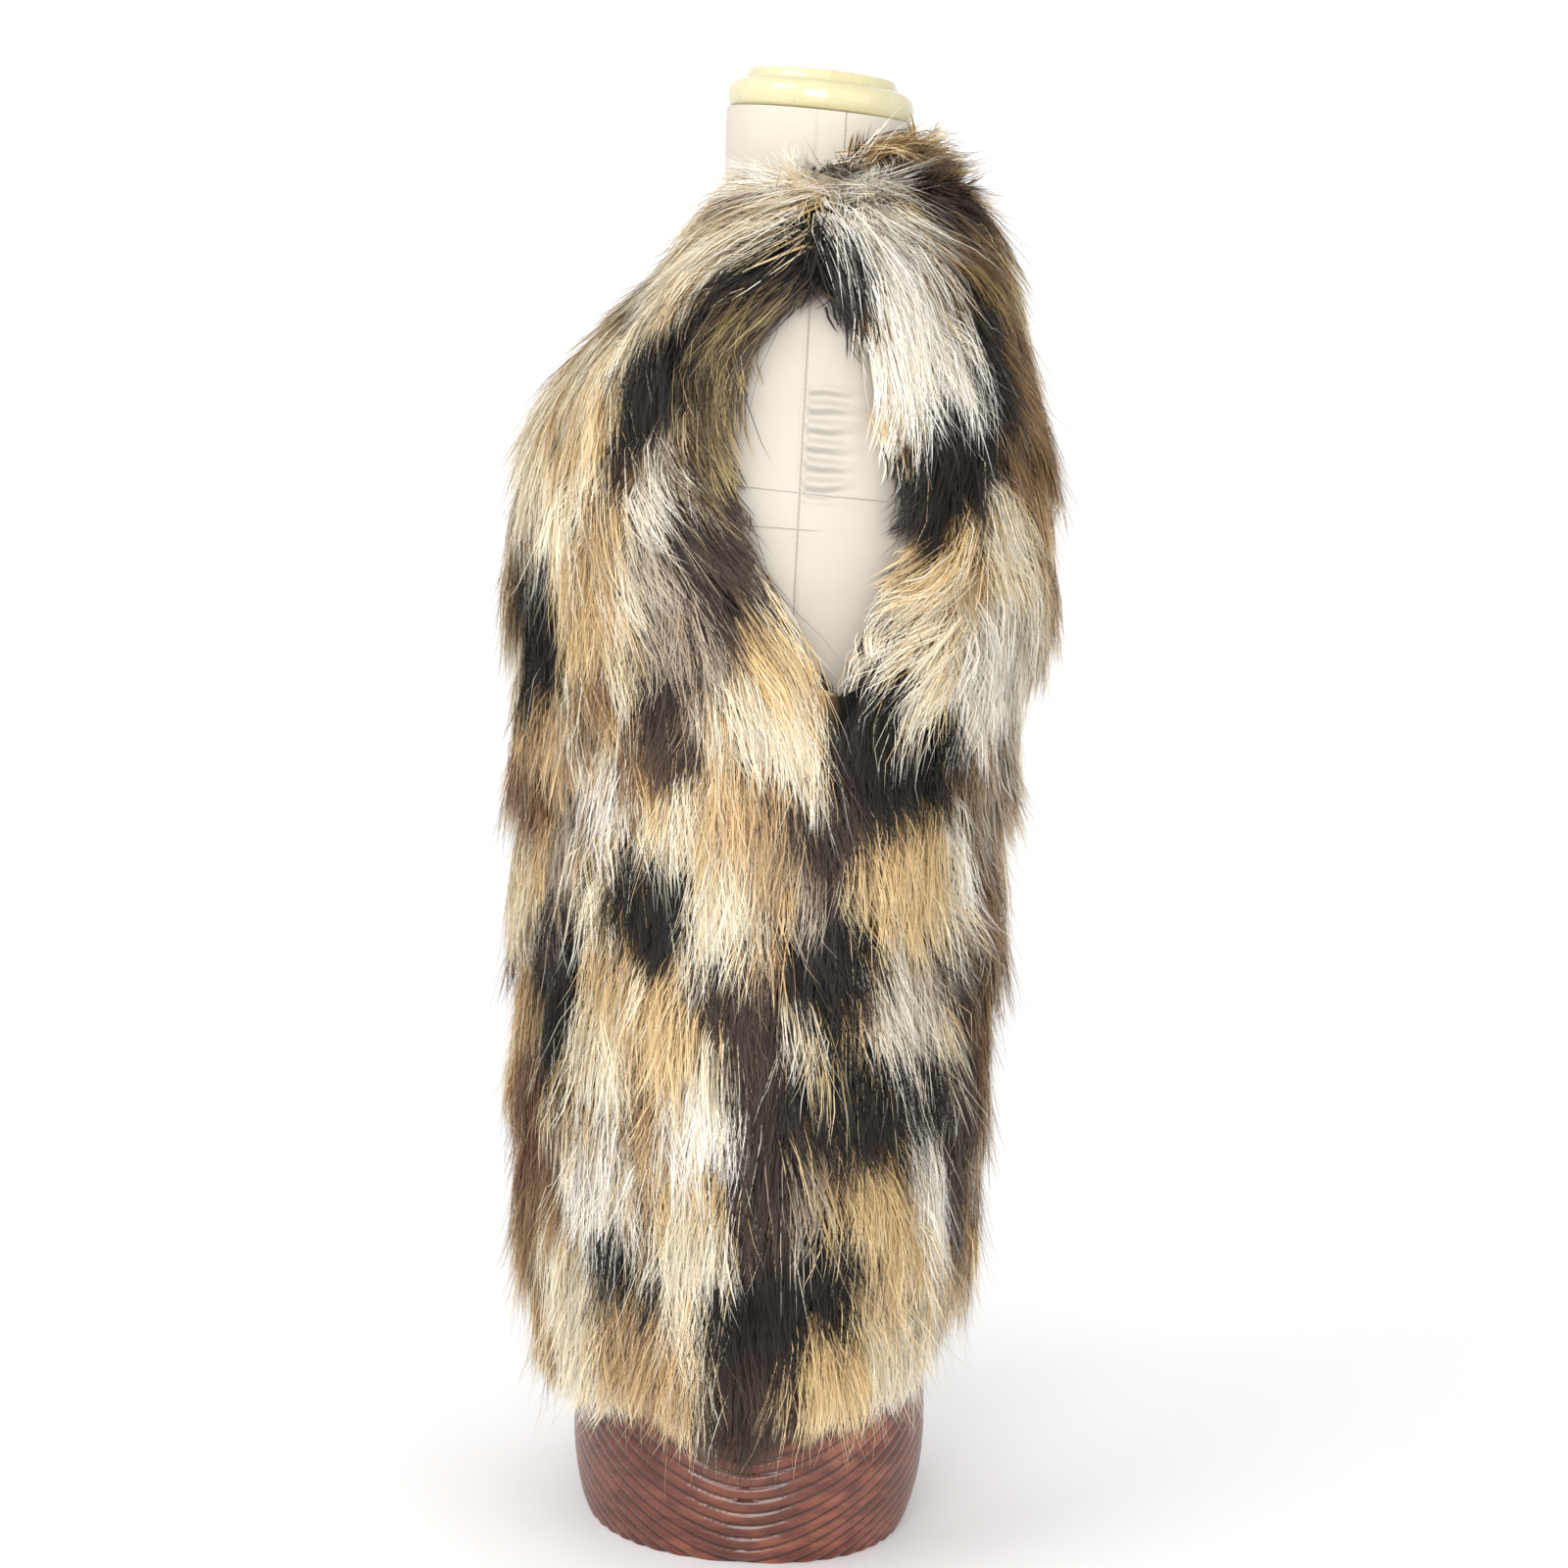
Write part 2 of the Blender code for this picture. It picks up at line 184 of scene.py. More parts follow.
figure = millimetres([  # height, side, front, back
    (4, 128, 97, 92), (39, 130, 97, 92), (74, 134, 99, 93), (114, 144, 103, 95), (183, 160, 110, 100),
    (244, 164, 112, 101), (305, 155, 110, 99), (364, 140, 106, 98), (404, 133, 106, 94), (439, 133, 110, 95),
    (487, 139, 122, 106), (546, 148, 138, 121), (588, 152, 143, 124), (634, 154, 130, 117), (665, 157, 113, 110),
    (694, 160, 88, 103), (716, 159, 69, 97), (731, 149, 60, 92), (748, 117, 54, 86), (763, 86, 52, 77),
    (778, 61, 52, 66), (796, 55.5, 53.5, 58), (816, 54.5, 54.5, 55.2), (839, 54.5, 54.5, 54.5),
])
ease = millimetres([  # height, side, front, back
    (4, 12, 9, 10), (39, 12, 9, 10), (84, 12, 10, 9), (121, 12, 12, 8), (183, 10, 15, 8), (244, 9, 18, 8),
    (305, 13, 22, 9), (364, 18, 30, 13), (404, 21, 33, 18), (439, 20, 30, 15), (487, 15, 21, 12), (546, 10, 9, 8),
    (588, 7, 5, 6), (634, 6, 5, 5), (665, 6, 5, 5), (754, 5, 4, 5), (839, 4, 4, 4),
])
hemLine = np.array([  # degrees from the front, height
    (0, 0.076), (40, 0.084), (68, 0.090), (86, 0.066), (104, 0.088), (135, 0.100), (180, 0.124),
])
armholeLine = millimetres([  # height, front edge, back edge
    (507, 28, 28), (520, 12, 37), (554, -7, 46), (586, -30, 58), (618, -40, 56), (660, -39, 41), (697, -28, 31),
    (716, -12, 18), (724, 5, 5),
])
cut = {
    "squareness": 2.2, "lift": 0.007, "seamReach": 0.160, "neckPoint": 0.800, "neckFront": 0.768,
    "neckNape": 0.822, "neckCurve": 1.35, "lowRows": 19, "armRows": 11, "shoulderRows": 6, "pile": 0.024,
    "edgePile": 0.010, "edgeReach": 0.042, "hemReach": 0.060, "row": 0.096, "rowLean": 0.35, "column": 0.054,
    "girth": 0.155, "firstRow": 0.149, "swell": 0.011, "scallop": 0.018, "swellTop": 0.670, "shoulderFade": 0.060,
    "stripDepth": 0.006, "stripWidth": 0.012, "strips": (30, 62, 122, 152), "tufts": 28, "tuftDepth": 0.007,
}
cutRows = cut["lowRows"] + cut["armRows"] + cut["shoulderRows"]
armpit, shoulder = armholeLine[0, 0], armholeLine[-1, 0]  # heights of the armhole's two ends


def between(t, start, end, leave, arrive):  # a smooth curve between two values, with the slopes at its ends
    return (
        start * (1 + 2 * t) * (1 - t) ** 2 + leave * t * (1 - t) ** 2
        + end * t * t * (3 - 2 * t) + arrive * t * t * (t - 1)
    )


def readTable(table, column, at):
    heights, values = table[:, 0], table[:, column]
    slopes = np.empty_like(values)
    slopes[1:-1] = (values[2:] - values[:-2]) / (heights[2:] - heights[:-2])
    slopes[0] = (values[1] - values[0]) / (heights[1] - heights[0])
    slopes[-1] = (values[-1] - values[-2]) / (heights[-1] - heights[-2])
    at = np.clip(at, heights[0], heights[-1])
    i = np.clip(np.searchsorted(heights, at, side="right") - 1, 0, len(heights) - 2)
    span = heights[i + 1] - heights[i]
    return between((at - heights[i]) / span, values[i], values[i + 1], span * slopes[i], span * slopes[i + 1])


def vestSizes(height):
    return [readTable(figure, k, height - cut["lift"]) + readTable(ease, k, height) for k in (1, 2, 3)]


def sectionPoint(angle, sizes, height):
    power = 2 / cut["squareness"]
    s, c = np.sin(angle), np.cos(angle)
    side, front, back = sizes
    x = side * np.sign(s) * np.abs(s) ** power
    y = np.where(c > 0, -front, back) * np.abs(c) ** power
    return np.stack([x, y, height + 0 * x], -1)


def vestPoint(angle, height):
    return sectionPoint(angle, vestSizes(height), height)


def tangents(angle, height):  # round the garment and up it
    turn, rise = 0.02, 0.004
    around = (vestPoint(angle + turn, height) - vestPoint(angle - turn, height)) / (2 * turn)
    up = (vestPoint(angle, height + rise) - vestPoint(angle, height - rise)) / (2 * rise)
    return around, up


def unit(vectors):
    return vectors / np.maximum(np.linalg.norm(vectors, axis=-1, keepdims=True), 1e-12)


def vestNormal(angle, height):
    around, up = tangents(angle, height)
    return unit(np.cross(around, up))


def angleAtX(x, height):
    return np.arcsin(np.minimum(1.0, (x / vestSizes(height)[0]) ** (cut["squareness"] / 2)))


def angleAtY(y, height):
    side, front, back = vestSizes(height)
    turn = np.arccos(np.minimum(1.0, (np.abs(y) / np.where(y < 0, front, back)) ** (cut["squareness"] / 2)))
    return np.where(y < 0, turn, np.pi - turn)


def smooth(t):
    t = np.clip(t, 0, 1)
    return t * t * (3 - 2 * t)


def hemHeight(angle):
    tuft = np.abs(np.sin(cut["tufts"] * angle / 2)) - 0.5
    return readTable(hemLine, 1, np.degrees(np.abs(angle))) + cut["tuftDepth"] * tuft


def sideEdge(row, isFront):
    share = row / cut["armRows"]
    height = armpit + (shoulder - armpit) * (1 - np.cos(np.pi * np.minimum(share, 1))) / 2
    y = readTable(armholeLine, 1 if isFront else 2, height)
    t = np.maximum((row - cut["armRows"]) / cut["shoulderRows"], 0)
    height = np.where(share <= 1, height, shoulder + (cut["neckPoint"] - shoulder) * t)
    y = np.where(share <= 1, y, armholeLine[-1, 1] * (1 - t))
    return np.stack([angleAtY(y, height), height], -1)


def neckEdge(u, isFront):
    widest = vestSizes(np.array(cut["neckPoint"]))[0]
    if isFront:
        height = cut["neckFront"] + (cut["neckPoint"] - cut["neckFront"]) * u ** cut["neckCurve"]
        return np.stack([angleAtX(widest * u, height), height], -1)
    height = cut["neckPoint"] + (cut["neckNape"] - cut["neckPoint"]) * np.cos(u * np.pi / 2)
    x = np.minimum(widest * np.sin(u * np.pi / 2), vestSizes(height)[0])
    return np.stack([np.pi - angleAtX(x, height), height], -1)


def panelPlace(u, row, isFront):  # arrays of angle and height on the left half of a panel
    low, lowRows, highRows = armpit, cut["lowRows"], cut["armRows"] + cut["shoulderRows"]
    centre = 0.0 if isFront else np.pi
    hem = hemHeight(centre + u * (np.pi / 2 - centre))
    height = hem + (low - hem) * np.minimum(row / lowRows, 1)
    t = np.clip(1 - (low - height) / cut["seamReach"], 0, 1)
    seam = angleAtY(armholeLine[0, 1] * smooth(t), height)
    below = np.stack([centre + u * (seam - centre), height], -1)
    high = np.maximum(row - lowRows, 0.0)
    v = (high / highRows)[..., None]
    u1 = u[..., None]
    lowSeam = float(angleAtY(np.array(armholeLine[0, 1]), np.array(low)))
    foot = np.stack([centre + u * (lowSeam - centre), low + 0 * u], -1)
    centreLow, centreHigh = np.array((centre, low)), neckEdge(np.array(0.0), isFront)
    sideLow, sideHigh = sideEdge(np.array(0.0), isFront), sideEdge(np.array(float(highRows)), isFront)
    across = (1 - u1) * ((1 - v) * centreLow + v * centreHigh) + u1 * sideEdge(high, isFront)
    along = (1 - v) * foot + v * neckEdge(u, isFront)
    lower = (1 - u1) * centreLow + u1 * sideLow
    upper = (1 - u1) * centreHigh + u1 * sideHigh
    above = across + along - (1 - v) * lower - v * upper
    return np.where((row <= lowRows)[..., None], below, above)


def freeEdges():
    lines = {"armhole": [], "neck": [], "hem": []}
    for isFront in (True, False):
        u = np.linspace(0, 1, 40)
        rows = np.linspace(0, cut["armRows"], 40)
        lines["neck"].append(vestPoint(*neckEdge(u, isFront).T))
        lines["armhole"].append(vestPoint(*sideEdge(rows, isFront).T))
        lines["hem"].append(vestPoint(*panelPlace(u, 0 * u, isFront).reshape(-1, 2).T))
    return {key: np.concatenate(value) for key, value in lines.items()}


edgeLines = freeEdges()


def edgeDistance(points, name):
    folded = points.copy()
    folded[..., 0] = np.abs(folded[..., 0])
    best = np.full(points.shape[:-1], 9.0)
    for p in edgeLines[name]:
        best = np.minimum(best, np.linalg.norm(folded - p, axis=-1))
    return best


def pileDepth(angle, height, points):
    turn, girth = np.abs(angle), cut["girth"]
    across = turn * girth
    lean = cut["rowLean"] * np.abs(turn - np.pi / 2) * girth
    scallop = cut["scallop"] * (np.abs(np.cos(np.pi * across / cut["column"])) - 0.5)
    down = 1 - ((height - cut["firstRow"] + lean + scallop) / cut["row"]) % 1.0
    fade = 1 - smooth((height - cut["swellTop"]) / cut["shoulderFade"])
    seam = sum(np.exp(-(((turn - math.radians(a)) * girth / cut["stripWidth"]) ** 2)) for a in cut["strips"])
    full = cut["pile"] + cut["swell"] * (down - 0.5) * fade - cut["stripDepth"] * seam
    near = np.minimum(edgeDistance(points, "armhole"), edgeDistance(points, "neck"))
    share = smooth(near / cut["edgeReach"]) * smooth(edgeDistance(points, "hem") / cut["hemReach"])
    return cut["edgePile"] + (full - cut["edgePile"]) * share


print("cut worked out")

# the colours of the pieced fur, charted

shades = {  # root, middle and tip
    "black": ((21, 18, 16), (32, 28, 25), (58, 50, 42)),
    "umber": ((38, 28, 25), (62, 48, 42), (100, 82, 70)),
    "rust": ((72, 48, 36), (118, 82, 60), (166, 128, 100)),
    "brown": ((76, 56, 42), (134, 102, 74), (186, 154, 120)),
    "honey": ((74, 58, 38), (148, 115, 68), (212, 180, 122)),
    "olive": ((44, 37, 28), (118, 98, 62), (214, 191, 136)),
    "taupe": ((104, 84, 70), (182, 163, 141), (236, 223, 202)),
    "tan": ((134, 102, 68), (212, 177, 128), (244, 219, 176)),
    "gold": ((164, 126, 78), (232, 200, 144), (252, 235, 192)),
    "cream": ((204, 178, 138), (250, 237, 208), (255, 251, 236)),
    "smoke": ((182, 166, 142), (242, 231, 210), (253, 248, 236)),
    "white": ((232, 219, 198), (253, 247, 235), (255, 252, 245)),
}
shadeNames = list(shades)
shadeNumber = {name: k for k, name in enumerate(shades)}
streaks = {  # a shade, the one that is combed through it in streaks, and how rare the streaks are
    "olive": ("umber", 0.3), "honey": ("umber", 0.6), "brown": ("honey", 0.5),
    "taupe": ("umber", 0.9), "tan": ("brown", 1.0), "gold": ("tan", 0.7), "cream": ("gold", 1.35),
    "smoke": ("taupe", 1.4), "white": ("cream", 0.7),
}
shadeIsLight = {name: sum(tones[1]) > 400 for name, tones in shades.items()}

patches = [  # degrees from the front, from and to; mm from the floor, from and to; shade. Later ones lie on top
    (13, 36, 474, 575, "black"), (8, 57, 568, 690, "cream"), (22, 54, 628, 665, "gold"),
    (58, 70, 561, 644, "taupe"), (68, 83, 535, 616, "umber"), (59, 70, 540, 566, "taupe"),
    (36, 59, 504, 569, "gold"), (54, 62, 495, 585, "cream"), (48, 64, 483, 538, "cream"), (47, 54, 506, 611, "tan"),
    (59, 78, 498, 541, "taupe"), (8, 29, 417, 457, "rust"), (19, 43, 441, 488, "tan"),
    (34, 45, 372, 445, "taupe"), (77, 101, 457, 512, "cream"), (82, 95, 503, 535, "gold"),
    (44, 55, 468, 507, "brown"), (50, 73, 436, 485, "gold"), (47, 58, 412, 469, "white"),
    (57, 62, 403, 484, "brown"), (62, 73, 451, 508, "umber"), (101, 136, 437, 520, "black"),
    (75, 94, 423, 458, "tan"), (89, 109, 380, 445, "umber"), (91, 100, 383, 417, "taupe"),
    (105, 137, 375, 432, "gold"), (135, 145, 380, 446, "white"), (148, 168, 393, 489, "taupe"),
    (150, 171, 358, 394, "brown"), (43, 56, 363, 414, "cream"), (52, 61, 360, 401, "olive"),
    (63, 74, 400, 441, "cream"), (74, 86, 344, 421, "cream"), (57, 73, 347, 408, "black"),
    (86, 92, 361, 430, "tan"), (92, 112, 325, 383, "black"), (76, 92, 315, 357, "umber"),
    (26, 47, 277, 371, "black"), (12, 29, 280, 334, "tan"), (46, 61, 310, 363, "gold"), (62, 77, 279, 349, "gold"),
    (44, 61, 253, 324, "cream"), (45, 55, 250, 275, "honey"), (84, 95, 192, 327, "umber"),
    (92, 97, 258, 306, "smoke"), (95, 104, 197, 251, "taupe"), (97, 117, 297, 328, "gold"),
    (97, 136, 250, 300, "black"), (117, 135, 222, 275, "black"), (114, 137, 288, 366, "smoke"),
    (129, 167, 331, 367, "taupe"), (137, 155, 337, 352, "black"), (147, 173, 205, 324, "brown"),
    (161, 168, 199, 251, "smoke"), (14, 37, 194, 273, "rust"), (69, 84, 233, 290, "white"),
    (46, 63, 190, 253, "white"), (21, 45, 140, 223, "brown"), (64, 85, 212, 231, "gold"),
    (26, 53, 143, 191, "cream"), (63, 69, 193, 231, "honey"), (53, 69, 147, 195, "black"),
    (69, 87, 140, 219, "cream"), (105, 132, 171, 252, "gold"), (129, 142, 183, 267, "white"),
    (143, 158, 168, 324, "umber"), (137, 162, 141, 180, "tan"), (79, 96, 133, 177, "black"),
    (88, 117, 138, 205, "black"), (26, 60, 88, 144, "cream"), (51, 75, 94, 160, "tan"), (78, 86, 95, 136, "cream"),
    (94, 127, 98, 146, "gold"), (112, 138, 144, 184, "gold"), (119, 158, 102, 164, "cream"),
    (92, 104, 84, 107, "umber"), (10, 34, 698, 730, "olive"), (18, 61, 721, 764, "cream"),
    (24, 48, 666, 714, "cream"), (58, 78, 709, 751, "black"), (76, 103, 724, 762, "black"),
    (52, 68, 683, 729, "black"), (47, 63, 646, 704, "black"), (50, 59, 618, 666, "black"),
    (60, 90, 691, 726, "olive"), (65, 79, 643, 695, "olive"), (66, 75, 616, 647, "olive"),
    (54, 76, 748, 784, "cream"), (92, 99, 714, 764, "black"), (104, 135, 633, 769, "white"),
    (135, 145, 632, 715, "black"), (116, 142, 597, 660, "black"), (126, 162, 714, 774, "honey"),
    (143, 169, 618, 726, "brown"), (112, 133, 558, 597, "gold"), (107, 168, 478, 569, "cream"),
    (138, 167, 568, 615, "tan"), (128, 167, 480, 547, "white"), (107, 115, 535, 550, "black"),
    (99, 165, 788, 822, "honey"), (117, 146, 792, 806, "umber"), (126, 166, 767, 803, "umber"),
    (50, 89, 781, 803, "white"), (91, 108, 759, 792, "white"), (76, 104, 801, 828, "umber"),
    (80, 97, 50, 136, "umber"), (90, 105, 690, 748, "black"), (107, 124, 584, 625, "black"),
    (102, 117, 466, 518, "black"), (112, 131, 439, 488, "black"), (131, 156, 575, 620, "cream"),
    (75, 86, 532, 582, "umber"), (58, 67, 590, 630, "smoke"), (95, 136, 254, 306, "black"),
    (98, 117, 752, 803, "white"), (134, 147, 640, 735, "black"),
]


def shadeAt(angle, height, noise):  # noise is an array of two columns, in metres
    turn = np.degrees(np.abs(angle))
    right = angle < 0
    turn = turn + np.where(right, 4 * np.sin(height * 31), 0) + noise[:, 0] * 370
    level = height + np.where(right, 0.012 * np.sin(turn / 19), 0) + noise[:, 1]
    wave = np.sin(turn / 9 + 17 * level) + np.sin(level * 52 + turn / 23) + 0.6 * np.sin(turn / 4 - level * 90)
    found = np.where(wave > 0.5, shadeNumber["cream"], shadeNumber["gold"])
    found = np.where(wave < -0.5, shadeNumber["tan"], found)
    found = np.where(wave < -1.4, shadeNumber["brown"], found)
    drift = 0.12 * np.sin(turn / 5 + level * 70)
    for first, last, low, high, shade in patches:
        low, high = low / 1000, high / 1000
        dz = (level - (low + high) / 2) / ((high - low) / 2)
        narrow = 1 - 0.22 * np.maximum(-dz, 0) ** 2  # a patch ends in a rounded tuft
        dx = (turn - (first + last) / 2) / ((last - first) / 2) / np.maximum(narrow, 0.2)
        inside = np.abs(dx) ** 2.6 + np.abs(dz) ** 2.6 < (1.12 if shadeIsLight[shade] else 1.35)
        found = np.where(inside, shadeNumber[shade], found)
        drift = np.where(inside, (-0.16 if shadeIsLight[shade] else 0.10) * dz, drift)
    streak = np.sin(turn * 2.3 + 37 * level) + np.sin(turn * 1.3 - 61 * level)
    base = found.copy()
    for name, (other, rare) in streaks.items():
        found = np.where((base == shadeNumber[name]) & (streak > rare), shadeNumber[other], found)
    return found, drift


def furMaterial():  # across the map stand the shades, dark to light in each, and up it a hair from root to tip
    s = Shader("pieced fur", roughness=0.5, Specular_IOR_Level=0.28)
    u, v, _ = s.split(s.node("ShaderNodeUVMap", {"uv_map": "OFBake"}))
    count = len(shadeNames)
    levels = []
    for k in range(3):
        stops = [(i / count, tone(*shades[name][k])) for i, name in enumerate(shadeNames)]
        levels.append(s.node("ShaderNodeValToRGB", {"rampKind": "CONSTANT", "stops": stops}, {0: u}))
    colour = s.mix(v.ramp(-0.12, 0.42), levels[0], levels[1])
    colour = s.mix(v.ramp(0.45, 1.0), colour, levels[2])
    light = 0.62 + 0.66 * (u * count).apply("FRACT")
    s.set("Base Color", s.node("ShaderNodeVectorMath", {"operation": "SCALE"}, {0: colour, "Scale": light}))
    return s.material


def undercoatMaterial():
    s = Shader("fur undercoat", roughness=0.9, Specular_IOR_Level=0.2)
    tint = s.node("ShaderNodeAttribute", {"attribute_name": "undercoat"})
    fine = s.noise(s.place(), 900, 2.0, (1, 1, 0.25))
    s.set("Base Color", s.mix(fine.ramp(0.35, 0.7), s.mix(0.35, tint, (0, 0, 0, 1)), tint))
    s.bump(fine, 0.8, 0.002)
    return s.material


fur, undercoat = furMaterial(), undercoatMaterial()

# the backing: a thin shell in each cut panel's form, with the short dense undercoat on it

backing = {
    "columns": 22, "rows": 66, "hemInset": 1.6, "neckInset": 0.7, "armholeInset": 0.05,
    "lift": 0.0003, "gap": 0.0004, "thickness": 0.0075, "lumps": 0.0012, "shadeDrop": 0.012,
}


def panelGrid(isFront, columns, rows, hemInset=0.0, neckInset=0.0, armholeInset=0.0):
    u, row = np.meshgrid(np.linspace(0, 1, columns), np.linspace(hemInset, cutRows - neckInset, rows))
    beside = np.clip((row - cut["lowRows"]) / cut["armRows"], 0, 1)
    u = u * (1 - armholeInset * smooth(4 * np.minimum(beside, 1 - beside)))
    return panelPlace(u, row, isFront)


def makeBacking(name, node, isFront, flip):
    b = backing
    places = panelGrid(isFront, b["columns"], b["rows"], b["hemInset"], b["neckInset"], b["armholeInset"])
    if not isFront:  # the back is cut whole, from one side over the centre to the other
        left = places[:, ::-1]
        right = places[:, 1:] * np.array((-1.0, 1.0)) + np.array((2 * np.pi, 0.0))
        places = np.concatenate([left, right], 1)
    angles, heights = places[..., 0].copy(), places[..., 1]
    if flip:
        angles, heights = -angles[:, ::-1], heights[:, ::-1]
    inner = vestPoint(angles, heights)
    normals = vestNormal(angles, heights)
    bumps = b["lumps"] * np.sin(angles * 61) * np.sin(heights * 370)
    inner = inner + normals * b["lift"]
    outer = inner + normals * (b["thickness"] + bumps)[..., None]
    for grid in (inner, outer):  # the fronts and the side and shoulder seams stay open by a hair
        if isFront:
            grid[:, -1 if flip else 0, 0] = (-1 if flip else 1) * b["gap"]
        for column in ([0 if flip else -1] if isFront else [0, -1]):
            grid[:, column, 1] += (-1 if isFront else 1) * b["gap"] / 2
    rows, columns = inner.shape[:2]
    points = np.concatenate([inner.reshape(-1, 3), outer.reshape(-1, 3)])
    faces, shift = gridFaces(rows, columns), rows * columns
    faces = [*(faces + shift).tolist(), *faces[:, ::-1].tolist()]
    grid = np.arange(shift).reshape(rows, columns)
    rim = np.concatenate([grid[0], grid[1:, -1], grid[-1, -2::-1], grid[-2:0:-1, 0]]).tolist()
    faces += [[a, c, c + shift, a + shift] for a, c in zip(rim, rim[1:] + rim[:1])]
    mesh = bpy.data.meshes.new(name)
    mesh.from_pydata(points.tolist(), [], faces)
    folded = np.where(np.abs(angles) > np.pi, np.sign(angles) * (np.abs(angles) - 2 * np.pi), angles).reshape(-1)
    found, _ = shadeAt(folded, heights.reshape(-1) - b["shadeDrop"], np.zeros((folded.size, 2)))
    table = np.array([[tone(*shades[n][0]), tone(*shades[n][1])] for n in shadeNames])
    pale = np.array([shadeIsLight[n] for n in shadeNames])[found]
    # the undercoat takes its patch's root colour, darkened further as painted shade deep between the hairs, less so
    # under pale fur
    outside = table[found, 0] * np.where(pale, 0.85, 0.6)[:, None]
    plain = np.tile(np.array(tone(150, 128, 100)), (folded.size, 1))
    colours = mesh.color_attributes.new("undercoat", "FLOAT_COLOR", "POINT")
    colours.data.foreach_set("color", np.concatenate([plain, outside]).astype(np.float32).ravel())
    mesh.shade_smooth()
    piece = newPiece(name, mesh, undercoat)
    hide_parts(node)
    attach(piece, "root")
    return piece


frontLeft = makeBacking("frontLeftBacking", "front_left", True, False)
frontRight = makeBacking("frontRightBacking", "front_right", True, True)
backPanel = makeBacking("backBacking", "back", False, False)
print("backing done")

# the pile: tapered hairs in locks, combed down over the panels

pile = {
    "seed": 11, "lockSpacing": 0.0088, "hairsPerLock": 19, "length": 0.060, "lockLengths": (0.75, 1.2),
    "hairLengths": (0.72, 1.12), "fine": 0.00046, "coarse": 0.00115, "clump": 0.52, "clumpCurve": 1.3,
    "lockSpread": 0.0064, "stray": 0.09, "strayLength": 1.25, "rootHeight": 0.004, "overhang": 0.0035,
    "hemOverhang": 0.35, "roundness": 0.55, "flatness": 0.8, "plainWeight": 0.12, "underShare": 0.28,
    "unruly": 0.25, "rise": 0.017, "sag": 0.0025, "jitter": 0.14, "hairJitter": 0.12, "curl": 0.32, "roll": 0.5,
    "patchTrim": 0.86, "firstAngle": 0.0, "firstRow": 1.3, "widest": 0.204, "neckReach": 0.022, "neckFrom": 0.8,
    "neckFade": 0.5, "neckShort": 0.45, "neckJitter": 0.8, "neckLift": 0.6, "seenDrop": 0.022,
    "lockWander": (0.0035, 0.006), "hairWander": 0.0022, "lostShare": 0.08, "lostWander": 4.0,
    "lockLight": 0.18, "hairLight": 0.10,
}
ruff = {
    "lockSpacing": 0.0072, "length": 0.036, "unruly": 0.55, "stray": 0.25, "clump": 0.45, "lockSpread": 0.005,
    "jitter": 0.9, "firstAngle": 1.05,
}
hairSteps = np.array((0, 0.17, 0.35, 0.55, 0.75, 1.0))  # where a hair's way over the garment is worked out
puffs = [  # tufts that stand out from the outline: degrees from the front; height, reach and how far out, in mm
    (168, 572, 24, 10), (166, 478, 22, 9), (166, 362, 22, 12), (172, 200, 40, 4), (10, 585, 24, 6),
    (16, 258, 24, 7), (18, 204, 20, 6), (105, 800, 25, 5), (150, 790, 30, 5), (160, 135, 40, -9),
    (178, 150, 40, -9),
]
combing = [  # degrees from the front; height and reach in mm; degrees from straight down towards the back
    (53, 801, 14, -75), (93, 816, 15, -155), (72, 802, 12, -105), (112, 806, 12, 165), (130, 818, 16, 120),
    (150, 820, 16, 80), (170, 822, 16, 40), (138, 798, 20, 50), (25, 772, 12, -60), (104, 786, 20, 48),
    (76, 778, 18, -70), (60, 768, 23, -58), (41, 742, 26, -49), (39, 704, 35, 8), (30, 665, 41, 6),
    (32, 620, 41, 14), (61, 681, 26, -5), (58, 651, 23, 3), (69, 727, 26, -60), (65, 705, 23, -43),
    (92, 744, 20, 4), (82, 731, 17, -34), (74, 659, 23, 12), (67, 625, 26, 29), (64, 582, 26, 42),
    (74, 584, 29, 42), (84, 554, 23, 41), (72, 542, 26, 22), (86, 512, 23, 15), (91, 518, 20, 33),
    (97, 487, 26, 16), (50, 579, 35, -2), (47, 530, 35, 10), (103, 725, 23, 23), (105, 684, 20, 19),
    (109, 647, 20, 0), (122, 686, 29, 27), (136, 730, 26, 30), (154, 705, 29, 45), (158, 651, 29, 45),
    (121, 622, 26, -3), (114, 580, 22, -65), (112, 557, 17, -63), (122, 545, 23, -55), (118, 523, 23, -59),
    (134, 515, 26, -8), (141, 570, 26, 30), (153, 591, 20, 50), (111, 472, 29, 4), (155, 455, 29, 24),
    (155, 388, 20, 55), (147, 354, 23, 55), (91, 406, 46, 3), (51, 395, 46, 3), (93, 301, 52, 4), (63, 292, 52, 2),
    (132, 296, 35, 13), (39, 137, 35, -24), (60, 120, 35, -14), (89, 114, 35, 2), (124, 139, 35, 18),
    (139, 162, 29, 22), (170, 700, 40, 6), (172, 560, 60, 4), (8, 600, 60, -6),
]


def nearMark(points, turn, level, reach):  # 1 at a mark of these tables, falling off round it
    mark = vestPoint(np.radians([turn]), np.array([level / 1000]))
    return np.exp(-((points - mark) ** 2).sum(-1) / (reach / 1000) ** 2)


def combedLean(angle, height):  # which way the fur lies at a place: 0 is down the slope, and + is to the back
    points = vestPoint(angle, height)
    sideways, down = np.zeros(len(angle)), np.full(len(angle), pile["plainWeight"])
    for turn, level, reach, lean in combing:
        near = nearMark(points, turn, level, reach)
        sideways += near * math.sin(math.radians(lean))
        down += near * math.cos(math.radians(lean))
    return np.arctan2(sideways, down)


